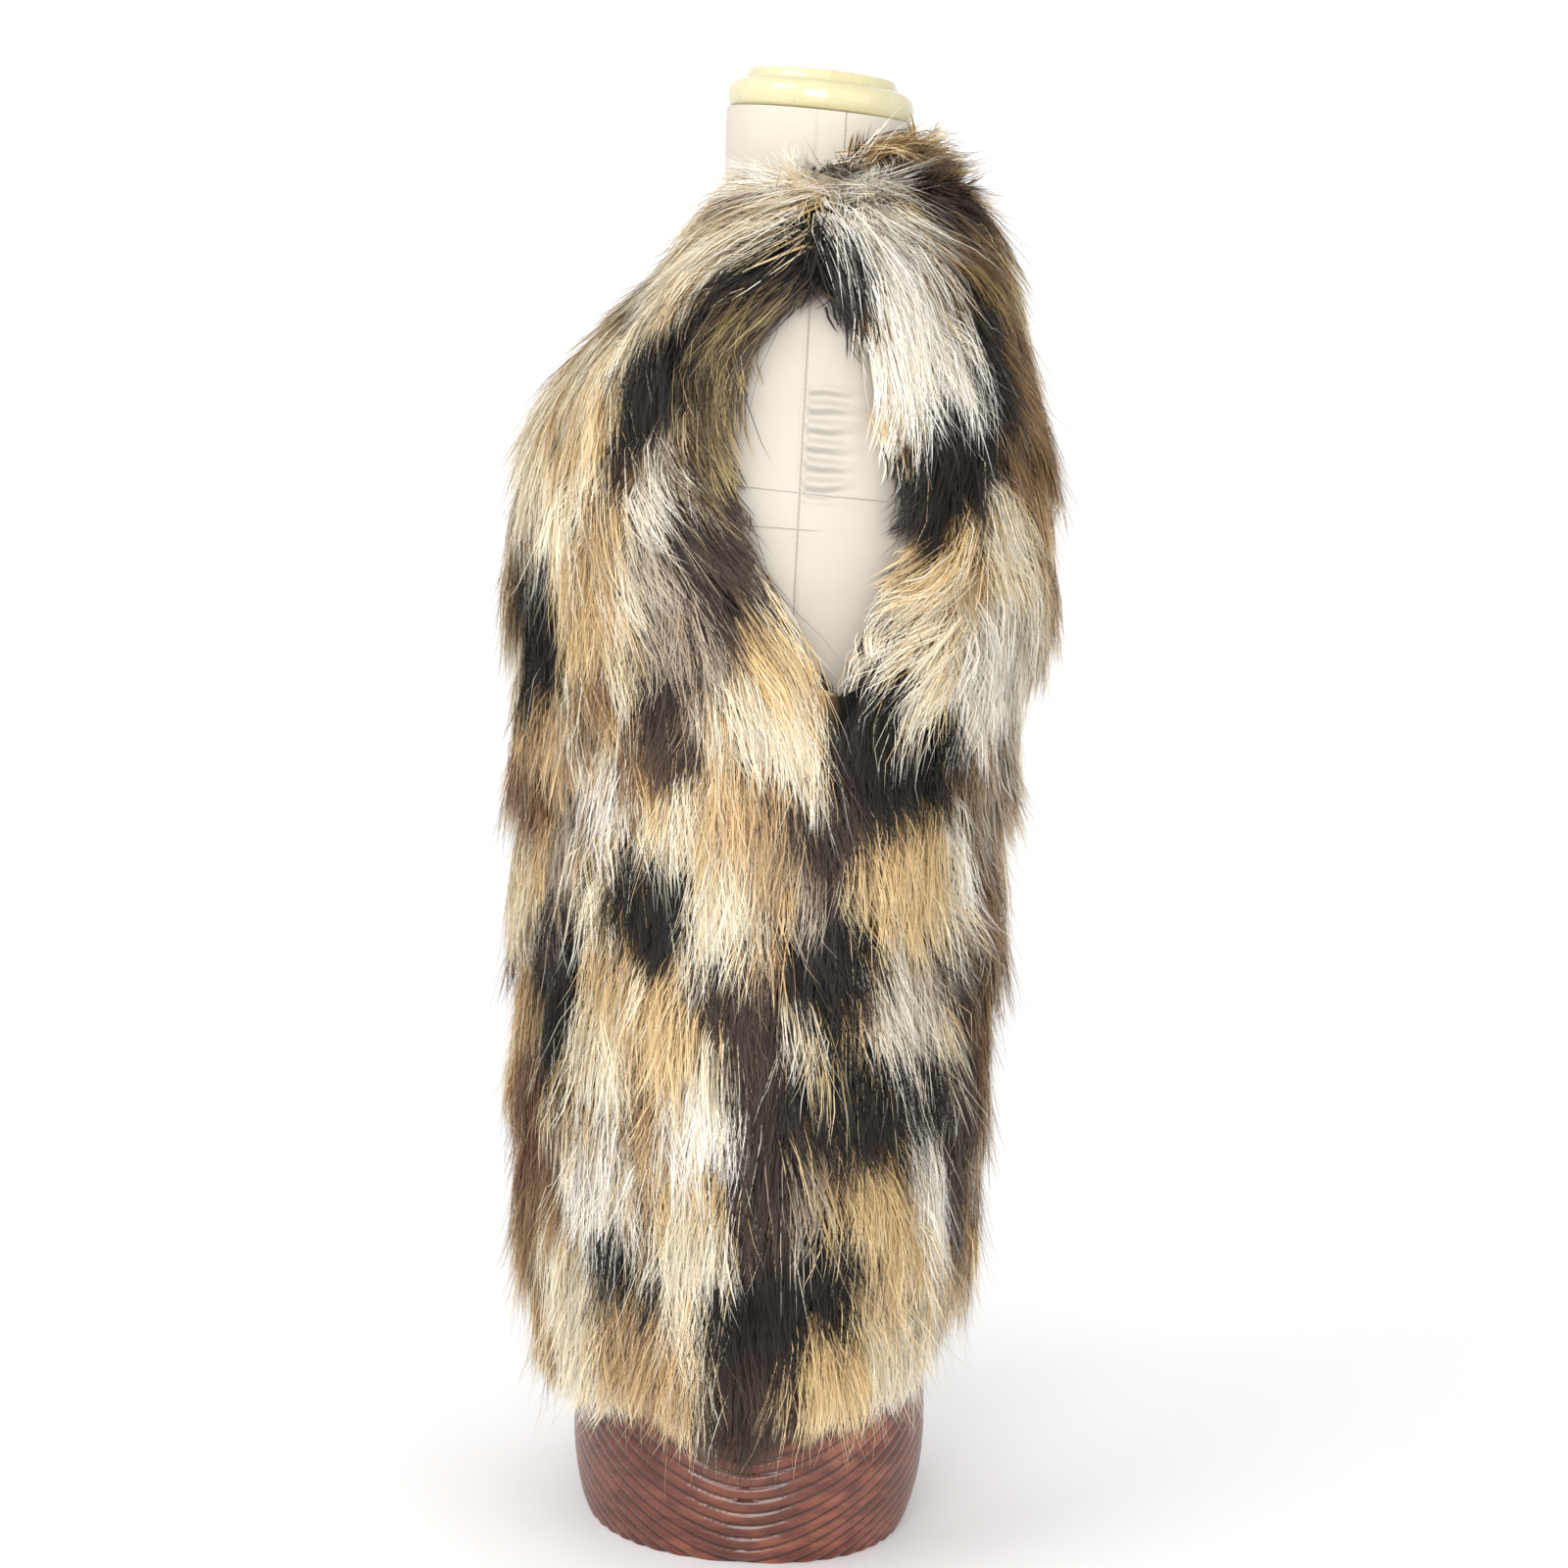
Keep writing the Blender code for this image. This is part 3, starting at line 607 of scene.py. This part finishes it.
def stepAlong(angle, height, lean, length):  # one step over the garment, in angle and height
    around, up = tangents(angle, height)
    normal = unit(np.cross(around, up))
    down = np.zeros_like(normal)
    down[:, 2] = -1
    down = unit(down - normal * (down * normal).sum(-1, keepdims=True))
    sideways = np.cross(normal, down)
    sideways *= np.sign((sideways * around).sum(-1, keepdims=True))
    wanted = down * np.cos(lean)[:, None] + sideways * np.sin(lean)[:, None]
    aa, bb, ab = (around * around).sum(-1), (up * up).sum(-1), (around * up).sum(-1)
    wa, wb = (wanted * around).sum(-1), (wanted * up).sum(-1)
    det = np.maximum(aa * bb - ab * ab, 1e-9)
    turn = np.clip((wa * bb - wb * ab) / det * length, -0.3, 0.3)
    return angle + turn, height + (wb * aa - wa * ab) / det * length


def walk(angle, height, leans, length):  # the places along a hair that lies on the garment
    spots = [(angle, height)]
    for k, share in enumerate(np.diff(hairSteps)):
        angle, height = stepAlong(angle, height, leans[k], length * share)
        spots.append((angle, height))
    return spots


def hairMesh(name, paths, sides, widths, normals, bands, lights):  # paths [hair, 4, 3] and the way across each
    count = len(paths)
    taper = np.array((1.0, 0.95, 0.65))
    across = sides[:, :3] * (widths[:, None] * taper)[..., None] / 2
    points = np.empty((count, 7, 3))
    points[:, 0:6:2] = paths[:, :3] - across
    points[:, 1:6:2] = paths[:, :3] + across
    points[:, 6] = paths[:, 3]
    corners = np.array((0, 1, 3, 2, 2, 3, 5, 4, 4, 5, 6))
    loops = (np.arange(count)[:, None] * 7 + corners).ravel()
    starts = (np.arange(count)[:, None] * 11 + np.array((0, 4, 8))).ravel()
    mesh = bpy.data.meshes.new(name)
    mesh.vertices.add(count * 7)
    mesh.vertices.foreach_set("co", points.astype(np.float32).ravel())
    mesh.loops.add(len(loops))
    mesh.loops.foreach_set("vertex_index", loops.astype(np.int32))
    mesh.polygons.add(len(starts))
    mesh.polygons.foreach_set("loop_start", starts.astype(np.int32))
    mesh.update(calc_edges=True)
    chart = mesh.uv_layers.new(name="OFBake")
    u = (bands + 0.12 + 0.72 * lights) / len(shadeNames)
    shift = np.array((-1, 1, -1, 1, -1, 1, 0)) * (0.02 / len(shadeNames))
    up = np.array((0.02, 0.02, 0.36, 0.36, 0.72, 0.72, 0.98))
    uv = np.stack([u[:, None] + shift, np.tile(up, (count, 1))], -1)
    chart.data.foreach_set("uv", uv[:, corners].astype(np.float32).ravel())
    mesh.shade_smooth()
    mesh.normals_split_custom_set_from_vertices(normals[:, (0, 0, 1, 1, 2, 2, 3)].reshape(-1, 3).tolist())
    piece = newPiece(name, mesh, fur)
    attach(piece, "root")
    return piece


def gridSteps(places):  # the steps between the points of a grid of places, across and up
    points = vestPoint(places[..., 0], places[..., 1])
    return points[:-1, 1:] - points[:-1, :-1], points[1:, :-1] - points[:-1, :-1]


def sampleRoots(isFront, count, rng, rows):  # places spread evenly over the rows named, and those rows' area
    levels, start = 200, pile["firstRow"]
    places = panelGrid(isFront, 40, levels, start)
    first, last = (int((levels - 1) * (row - start) / (cutRows - start)) for row in rows)
    places = places[first : last + 1]
    wide, tall = gridSteps(places)
    area = (np.linalg.norm(wide, axis=-1) * np.linalg.norm(tall, axis=-1)).ravel()
    cells = rng.choice(area.size, count, p=area / area.sum())
    r, c = np.divmod(cells, wide.shape[1])
    fu, fr = rng.random(count)[:, None], rng.random(count)[:, None]
    low = places[r, c] * (1 - fu) + places[r, c + 1] * fu
    high = places[r + 1, c] * (1 - fu) + places[r + 1, c + 1] * fu
    return low * (1 - fr) + high * fr, area.sum()


def armholeDepth(angle, height):  # how far a place lies inside the armhole, or less than 0 outside it
    y = vestPoint(angle, height)[:, 1]
    inside = np.minimum(y - readTable(armholeLine, 1, height), readTable(armholeLine, 2, height) - y)
    inside = np.minimum(inside, np.minimum(height - armpit, shoulder - height))
    return np.where(np.sin(np.abs(angle)) > 0.7, inside, -1)


def seenPlace(spots, sign):  # where a lock's middle is seen, which is what its shade is read at
    angle, height = ((a + b) / 2 for a, b in zip(spots[2], spots[3]))
    return sign * angle, height + pile["seenDrop"] * vestNormal(angle, height)[:, 2]


def growPile(name, isFront, flip, rows, seed, changes):
    p = {**pile, **changes}
    rng = np.random.default_rng(p["seed"] + seed)
    _, area = sampleRoots(isFront, 10, rng, rows)
    centres, _ = sampleRoots(isFront, int(area / p["lockSpacing"] ** 2), rng, rows)
    centres = centres[centres[:, 0] > p["firstAngle"]]
    locks, sign = len(centres), -1 if flip else 1
    count = locks * p["hairsPerLock"]
    own = np.repeat(np.arange(locks), p["hairsPerLock"])  # the lock that each hair stands in
    lockAngle, lockHeight = centres[:, 0], centres[:, 1]
    neckNear = 1 - smooth(edgeDistance(vestPoint(lockAngle, lockHeight), "neck") / p["neckReach"])
    neckNear = neckNear * smooth((lockAngle - p["neckFrom"]) / p["neckFade"])
    length = p["length"] * rng.uniform(*p["lockLengths"], locks) * (1 - p["neckShort"] * neckNear)

    jitter = rng.normal(0, p["jitter"], locks) + rng.normal(0, p["neckJitter"], locks) * neckNear
    curl = rng.normal(0, p["curl"], locks)
    leans, place = [], (lockAngle, lockHeight)
    for k, share in enumerate(np.diff(hairSteps)):
        leans.append(combedLean(*place) + jitter + curl * (hairSteps[k] - 0.3))
        place = stepAlong(*place, leans[-1], length * share)
    spots = walk(lockAngle, lockHeight, leans, length)
    allow = p["overhang"] * rng.exponential(1.0, locks)
    limit = np.ones(locks)  # a lock stops soon after it passes the armhole's or the hem's edge
    for share, (a, h) in zip(hairSteps, spots):
        out = (armholeDepth(a, h) > allow) | (h < hemHeight(a) - p["hemOverhang"] * allow)
        limit = np.where(out & (limit == 1), np.maximum(share - 0.1, 0.25), limit)
    still = np.zeros((locks, 2))
    middle = shadeAt(*seenPlace(spots, sign), still)[0]
    tip = shadeAt(sign * spots[5][0], spots[5][1], still)[0]
    limit = np.minimum(limit, np.where(middle != tip, p["patchTrim"], 1.0))  # and after its patch's
    length = length * limit
    lockSpots = walk(lockAngle, lockHeight, leans, length)

    around, rise = tangents(lockAngle, lockHeight)
    scatter = rng.normal(0, 1, (count, 2)) * p["lockSpread"] / 1.6
    angle = lockAngle[own] + scatter[:, 0] / np.linalg.norm(around, axis=-1)[own]
    height = lockHeight[own] + scatter[:, 1] / np.linalg.norm(rise, axis=-1)[own]
    angle = np.clip(angle, 0.001, np.pi - 0.001)
    under = rng.random(count) < p["underShare"]  # broader hairs below fill the gaps between the fine ones on top
    stray = ~under & (rng.random(count) < p["stray"] / (1 - p["underShare"]))
    hairJitter = rng.normal(0, p["hairJitter"], count)
    hairLength = length[own] * rng.uniform(*p["hairLengths"], count) * np.where(stray, p["strayLength"], 1.0)
    hairSpots = walk(angle, height, [lean[own] + hairJitter for lean in leans], hairLength)

    roots = vestPoint(angle, height)
    depth = pileDepth(angle, height, roots)
    layer = np.where(under, rng.uniform(0.35, 0.72, count), rng.uniform(0.72, 1.0, count))
    lift = np.where(stray, rng.uniform(0.3, 1.0, count), rng.normal(0, 0.05, count))
    lift += rng.normal(0, p["unruly"], locks)[own] + p["neckLift"] * neckNear[own]
    proud = sum(far / 1000 * nearMark(roots, turn, level, reach) for turn, level, reach, far in puffs)
    paths, ups, offsets = (np.empty((count, 4, 3)) for _ in range(3))
    for k, i in enumerate((0, 2, 4, 5)):
        t = hairSteps[i]
        raised = p["rootHeight"] + (depth * layer - p["rootHeight"]) * (1 - (1 - min(t / 0.5, 1)) ** 2)
        raised = raised + lift * p["rise"] * t * t - p["sag"] * t + proud * t
        mine, theirs = vestPoint(*hairSpots[i]), vestPoint(*lockSpots[i])[own]
        pull = (p["clump"] * t ** p["clumpCurve"] * np.where(stray, 0.2, 1.0))[:, None]
        ups[:, k] = vestNormal(*hairSpots[i])
        offsets[:, k] = (mine - theirs) * (1 - pull)
        paths[:, k] = theirs + offsets[:, k] + ups[:, k] * raised[:, None]
    paths[..., 0] -= 0.5 * np.maximum(paths[..., 0] - p["widest"], 0)  # the longest at the side lie a little flatter

    along = np.empty_like(paths)
    along[:, :-1] = paths[:, 1:] - paths[:, :-1]
    along[:, -1] = along[:, -2]
    along = unit(along)
    roll = rng.normal(0, p["roll"], count)
    flat = unit(np.cross(along, ups))
    sides = flat * np.cos(roll)[:, None, None] + np.cross(along, flat) * np.sin(roll)[:, None, None]
    widths = np.where(under, p["coarse"], np.where(stray, 0.7, 1.0) * p["fine"]) * rng.uniform(0.7, 1.3, count)
    normals = ups + p["roundness"] * offsets / p["lockSpread"]  # a lock is lit as one rounded tuft
    normals = unit(normals - p["flatness"] * along * (normals * along).sum(-1, keepdims=True))

    lockNoise = rng.normal(0, 1, (locks, 2)) * np.array(p["lockWander"])
    seenAngle, seenHeight = seenPlace(lockSpots, sign)
    lost = np.where(rng.random(count) < p["lostShare"], p["lostWander"], 1.0)  # these stray in from the next patch
    noise = lockNoise[own] + lost[:, None] * rng.normal(0, p["hairWander"], (count, 2))
    bands, down = shadeAt(seenAngle[own], seenHeight[own], noise)
    lights = 0.5 + down + rng.normal(0, p["lockLight"], locks)[own] + rng.normal(0, p["hairLight"], count)
    if flip:
        for part in (paths, sides, normals):
            part[..., 0] *= -1
        sides *= -1
    return hairMesh(name, paths, sides, widths, normals, bands, np.clip(lights, 0, 1))


parts = {  # the rows of the cut that each part grows on, and what differs there
    "PileLow": ((pile["firstRow"], 16), {}), "PileHigh": ((16, 36), {}), "Ruff": ((33.5, 35.9), ruff),
}
grown = {}
for isFront in (True, False):
    for flip in (False, True):
        for part, (rows, changes) in parts.items():
            name = ("front" if isFront else "back") + ("Right" if flip else "Left") + part
            grown[name] = growPile(name, isFront, flip, rows, len(grown), changes)
            print(name, len(grown[name].data.polygons) * 5 // 3, "triangles")


def panelArea(isFront):
    return float(np.linalg.norm(np.cross(*gridSteps(panelGrid(isFront, 40, 90))), axis=-1).sum())


frontArea, backArea = panelArea(True), 2 * panelArea(False)
print("front", round(frontArea, 3), "m2, back", round(backArea, 3), "m2")

# the dress form, its neck cap and the pedestal

muslin = {"bottom": 0.1203, "top": 0.8285, "rings": 100, "sides": 96, "thread": 0.00055, "seamWidth": 0.0004,
          "stitch": 0.0032, "pucker": 0.0102, "soft": 26, "tilt": math.radians(2.7), "slantFrom": 0.795}
cap = {"sides": 120, "lift": 0.0003, "detail": 4}
capProfile = millimetres([  # radius, height
    (49, 0), (52.5, 1), (54.3, 4.5), (54.7, 8.5), (54, 12.5), (51, 16), (46.2, 17), (45, 18), (43.8, 21.5),
    (41, 23.5), (25, 24),
])


def muslinMaterial():
    m = muslin
    s = Shader("muslin", roughness=0.88, Specular_IOR_Level=0.25, Sheen_Weight=0.15)
    where = s.place()
    _, y, z = s.split(where)
    cloth = y.wave(m["thread"]) * z.wave(m["thread"])
    base = s.mix(s.noise(where, 9).ramp(0.3, 0.7), tone(188, 179, 167), tone(204, 196, 185))
    base = s.mix(z.ramp(0.76, 0.82) * 0.6, base, tone(226, 218, 200))  # painted light: the neck is painted paler than the chest, as if more brightly lit
    base = s.mix(cloth.ramp(-1, 1) * 0.12, base, tone(158, 149, 136))
    offset = (y - 0.015 * z.ramp(0.745, 0.800)).apply("ABSOLUTE")  # the seam steps back under the neck
    seam = 1 - offset.ramp(m["seamWidth"] * 0.4, m["seamWidth"] * 1.6)
    darts = [(0.6165, 0.05, 0.045), (0.5965, 0.02, 0.004)]  # height, slope and how far back each one reaches
    for level, slope, back in darts:
        line = 1 - (z + slope * y - level).apply("ABSOLUTE").ramp(m["seamWidth"] * 0.3, m["seamWidth"] * 1.3)
        seam = seam.apply("MAXIMUM", line * y.ramp(-0.052, -0.046) * (1 - y.ramp(back, back + 0.012)) * 0.8)
    stitch = z.wave(m["stitch"]).ramp(-0.2, 0.3)
    s.set("Base Color", s.mix(seam * (0.22 + 0.2 * stitch), base, tone(112, 100, 86)))
    tight = y.ramp(0.0, 0.004) * (1 - y.ramp(0.012, 0.034))  # puckers beside the seam
    level = z.ramp(0.608, 0.618) * (1 - z.ramp(0.668, 0.680))
    wobble = s.noise(where, 40, 2.0) * 3.0
    pucker = (z * (2 * math.pi / m["pucker"]) + wobble).apply("SINE") * tight * level
    dent = 1 - y.apply("ABSOLUTE").ramp(0.0, 0.0035)
    slack = s.noise(where, m["soft"], 2.0, (1, 1, 0.6))
    s.bump(cloth * 0.02 + pucker * 1.6 - dent * 0.5 - seam * 0.4 + slack * 1.6, 0.8, 0.0016)
    return s.material


def sectionRings(table, bottom, top, rings, sides):
    angle, height = np.meshgrid(np.linspace(0, 2 * np.pi, sides, endpoint=False), np.linspace(bottom, top, rings))
    return sectionPoint(angle, [readTable(table, k, height) for k in (1, 2, 3)], height)


def makeForm():
    m = muslin
    points = sectionRings(figure, m["bottom"], m["top"], m["rings"], m["sides"])
    slant = capProfile[2, 0] * math.sin(m["tilt"]) - points[..., 1] * math.tan(m["tilt"])  # meets the tilted cap
    points[..., 2] += slant * smooth((points[..., 2] - m["slantFrom"]) / (m["top"] - m["slantFrom"]))
    mesh = closedRings("muslinForm", points)
    softShade(mesh, 50)
    piece = newPiece("muslinForm", mesh, muslinMaterial())
    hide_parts("dress_form")
    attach(piece, "root")


makeForm()


def capMaterial():
    s = Shader("cream lacquer", roughness=0.22, Coat_Weight=0.7, Coat_Roughness=0.06, Specular_IOR_Level=0.55)
    where = s.place()
    base = s.mix(s.noise(where, 14, 4.0).ramp(0.3, 0.7), tone(205, 196, 152), tone(222, 215, 176))
    specks = s.noise(where, 420, 1.0).ramp(0.70, 0.76)
    s.set("Base Color", s.mix(specks * 0.5, base, tone(150, 132, 90)))
    s.set("Roughness", 0.16 + 0.18 * s.noise(where, 60, 3.0))
    s.bump(s.noise(where, 30, 2.0), 0.12, 0.002)
    return s.material


def makeCap():
    c, tilt = cap, muslin["tilt"]
    steps = np.linspace(0, len(capProfile) - 1, (len(capProfile) - 1) * c["detail"] + 1)
    i = np.minimum(steps.astype(int), len(capProfile) - 2)
    t = (steps - i)[:, None]
    before, after = capProfile[np.maximum(i - 1, 0)], capProfile[np.minimum(i + 2, len(capProfile) - 1)]
    p0, p1 = capProfile[i], capProfile[i + 1]
    curve = between(t, p0, p1, (p1 - before) / 2, (after - p0) / 2)
    turns = np.linspace(0, 2 * np.pi, c["sides"], endpoint=False)
    x = curve[:, :1] * np.sin(turns)
    y = -curve[:, :1] * np.cos(turns)
    base = muslin["top"] + c["lift"] + capProfile[2, 0] * math.sin(tilt)
    points = np.stack([x, y * math.cos(tilt), base + curve[:, 1:] - y * math.sin(tilt)], -1)
    mesh = closedRings("neckCapLacquer", points)
    softShade(mesh, 60)
    piece = newPiece("neckCapLacquer", mesh, capMaterial())
    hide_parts("neck_cap")
    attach(piece, "root")


makeCap()

pedestal = {
    "top": 0.120, "sides": 200, "rows": 148, "pitch": 0.0080, "height": 0.0024, "swag": 0.072, "power": 1.6,
}
pedestalTable = millimetres([  # height, side, front, back
    (0, 112, 93.5, 93), (10, 116, 97.5, 97), (30, 121, 102, 101.5), (50, 124, 104, 103), (70, 124, 103.5, 102.5),
    (95, 122, 101.5, 100), (120, 118, 97.5, 96),
])


def reedMaterial():
    p = pedestal
    s = Shader("red brown lacquer", roughness=0.3, Coat_Weight=0.45, Coat_Roughness=0.1, Specular_IOR_Level=0.4)
    where = s.place()
    x, y, z = s.split(where)
    around = y.apply("ABSOLUTE") / (x * x + y * y).apply("SQRT")
    phase = (z - p["swag"] * around ** p["power"]) / p["pitch"]
    # painted shade: the grooves between the reeds are painted darker
    grooveShade = 1 - phase.wave(2).apply("ABSOLUTE").ramp(0.0, 0.55)
    worn = s.noise(where, 45, 4.0, (1, 1, 2.5))
    base = s.mix(worn.ramp(0.35, 0.68), tone(98, 46, 33), tone(148, 84, 62))
    base = s.mix(s.noise(where, 8, 2.0).ramp(0.35, 0.65) * 0.5, base, tone(76, 36, 27))
    s.set("Base Color", s.mix(grooveShade * 0.8, base, tone(36, 17, 12)))
    s.set("Roughness", 0.24 + 0.25 * worn)
    s.bump(s.noise(where, 260, 3.0, (1, 1, 2.0)), 0.25, 0.0008)
    return s.material


reedInputs = ("Pitch", "Height", "Swag", "Power")


def reedTree(material):  # moves a plain pedestal's skin out into reeds that hang in swags
    tree = bpy.data.node_groups.new("Reed winding", "GeometryNodeTree")
    sockets = tree.interface
    sockets.new_socket("Geometry", in_out="INPUT", socket_type="NodeSocketGeometry")
    for label in reedInputs:
        sockets.new_socket(label, in_out="INPUT", socket_type="NodeSocketFloat")
    sockets.new_socket("Geometry", in_out="OUTPUT", socket_type="NodeSocketGeometry")
    start, end = tree.nodes.new("NodeGroupInput"), tree.nodes.new("NodeGroupOutput")
    size = {s.name: s for s in start.outputs}

    def add(kind, settings, *values):
        made = tree.nodes.new(kind)
        for key, value in settings.items():
            setattr(made, key, value)
        for k, value in enumerate(values):
            if isinstance(value, bpy.types.NodeSocket):
                tree.links.new(value, made.inputs[k])
            elif value is not None:
                made.inputs[k].default_value = value
        return made.outputs[0]

    def sums(operation, *values):
        return add("ShaderNodeMath", {"operation": operation}, *values)

    split = add("ShaderNodeSeparateXYZ", {}, add("GeometryNodeInputPosition", {})).node.outputs
    flat = sums("SQRT", sums("ADD", sums("MULTIPLY", split[0], split[0]), sums("MULTIPLY", split[1], split[1])))
    around = sums("DIVIDE", sums("ABSOLUTE", split[1]), flat)
    swag = sums("MULTIPLY", sums("POWER", around, size["Power"]), size["Swag"])
    phase = sums("DIVIDE", sums("SUBTRACT", split[2], swag), size["Pitch"])
    wave = sums("ABSOLUTE", sums("SINE", sums("MULTIPLY", phase, math.pi)))
    proud = sums("MULTIPLY", sums("POWER", wave, 0.6), size["Height"])
    outward = add("ShaderNodeCombineXYZ", {}, split[0], split[1], 0.0)
    outward = add("ShaderNodeVectorMath", {"operation": "NORMALIZE"}, outward)
    moved = add("ShaderNodeVectorMath", {"operation": "SCALE"}, outward, None, None, proud)
    shifted = add("GeometryNodeSetPosition", {}, size["Geometry"], None, None, moved)
    real = add("GeometryNodeRealizeInstances", {}, shifted)
    tree.links.new(add("GeometryNodeSetMaterial", {}, real, None, material), end.inputs[0])
    return tree


def makePedestal():
    p = pedestal
    mesh = closedRings("reeds", sectionRings(pedestalTable, 0, p["top"], p["rows"], p["sides"]))
    lacquer = reedMaterial()
    rough = newPiece("reedCore", mesh, lacquer)
    winding = rough.modifiers.new("reeds", "NODES")
    winding.node_group = reedTree(lacquer)
    for item in winding.node_group.interface.items_tree:
        if item.in_out == "INPUT" and item.name in reedInputs:
            winding[item.identifier] = p[item.name.lower()]
    wound = bpy.data.meshes.new_from_object(rough.evaluated_get(bpy.context.evaluated_depsgraph_get()))
    bpy.data.objects.remove(rough)
    softShade(wound, 60)
    piece = newPiece("reededPedestal", wound, lacquer)
    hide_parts("pedestal")
    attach(piece, "root")


makePedestal()
print("form, cap and pedestal done")

# floor, light and camera

view = {"distance": 2.0, "height": 0.664, "focal": 3448 / 1600 * 36, "pitch": 6.4, "roll": -3.1}
studio = {"floor": (0.93, 0.93, 0.93), "sky": 0.72, "wide": 4.5, "near": 4.5, "bendFrom": -2.4, "bend": 1.1,
          "tall": 5.0}
lights = {  # place, target, size and power; the last one is aimed at the paper behind
    "key": ((1.6, -1.8, 2.2), (0, 0, 0.45), 1.6, 30), "fill": ((1.8, 1.6, 1.2), (0, 0, 0.45), 1.8, 12),
    "front": ((2.8, -0.3, 1.2), (0, 0, 0.45), 1.2, 42), "paper": ((-1.3, 0, 2.4), (-3.4, 0, 0.5), 1.8, 24),
}


def makeStage():
    s = Shader("pale paper", roughness=0.9)
    s.set("Base Color", (*studio["floor"], 1.0))
    back, bend = studio["bendFrom"], studio["bend"]
    profile = [(studio["near"], 0.0), (back, 0.0)]
    profile += [(back - bend * math.sin(a), bend - bend * math.cos(a)) for a in np.linspace(0.1, np.pi / 2, 14)]
    profile += [(back - bend, studio["tall"])]
    points = [(x, y, z) for x, z in profile for y in (-studio["wide"], studio["wide"])]
    faces = [[2 * k, 2 * k + 2, 2 * k + 3, 2 * k + 1] for k in range(len(profile) - 1)]
    mesh = bpy.data.meshes.new("paperSweep")
    mesh.from_pydata(points, [], faces)
    mesh.shade_smooth()
    newPiece("paperSweep", mesh, s.material)


def makeCamera():
    pitch, roll = math.radians(view["pitch"]), math.radians(view["roll"])
    ahead = Vector((-math.cos(pitch), 0, -math.sin(pitch)))
    right = Vector((0, 1, 0))
    up = right.cross(ahead)
    tiltedRight, tiltedUp = right * math.cos(roll) - up * math.sin(roll), right * math.sin(roll) + up * math.cos(roll)
    camera = bpy.data.cameras.new("camera")
    camera.sensor_width = 36
    camera.lens = view["focal"]
    holder = newObject("camera", camera)
    turn = Matrix((tiltedRight, tiltedUp, -ahead)).transposed().to_4x4()
    holder.matrix_world = Matrix.Translation((view["distance"], 0, view["height"])) @ turn
    bpy.context.scene.camera = holder


makeStage()
for name, (place, target, size, power) in lights.items():
    light = bpy.data.lights.new(name, "AREA")
    light.size, light.energy = size, power
    holder = newObject(name, light)
    holder.location = place
    holder.rotation_euler = (Vector(target) - Vector(place)).to_track_quat("-Z", "Y").to_euler()
world = bpy.data.worlds.new("studio")
world.use_nodes = True
sky = world.node_tree.nodes["Background"].inputs
sky["Color"].default_value = (1, 1, 1, 1)
sky["Strength"].default_value = studio["sky"]
bpy.context.scene.world = world
makeCamera()
bpy.context.scene.view_settings.view_transform = "Standard"
print("stage, light and camera done")
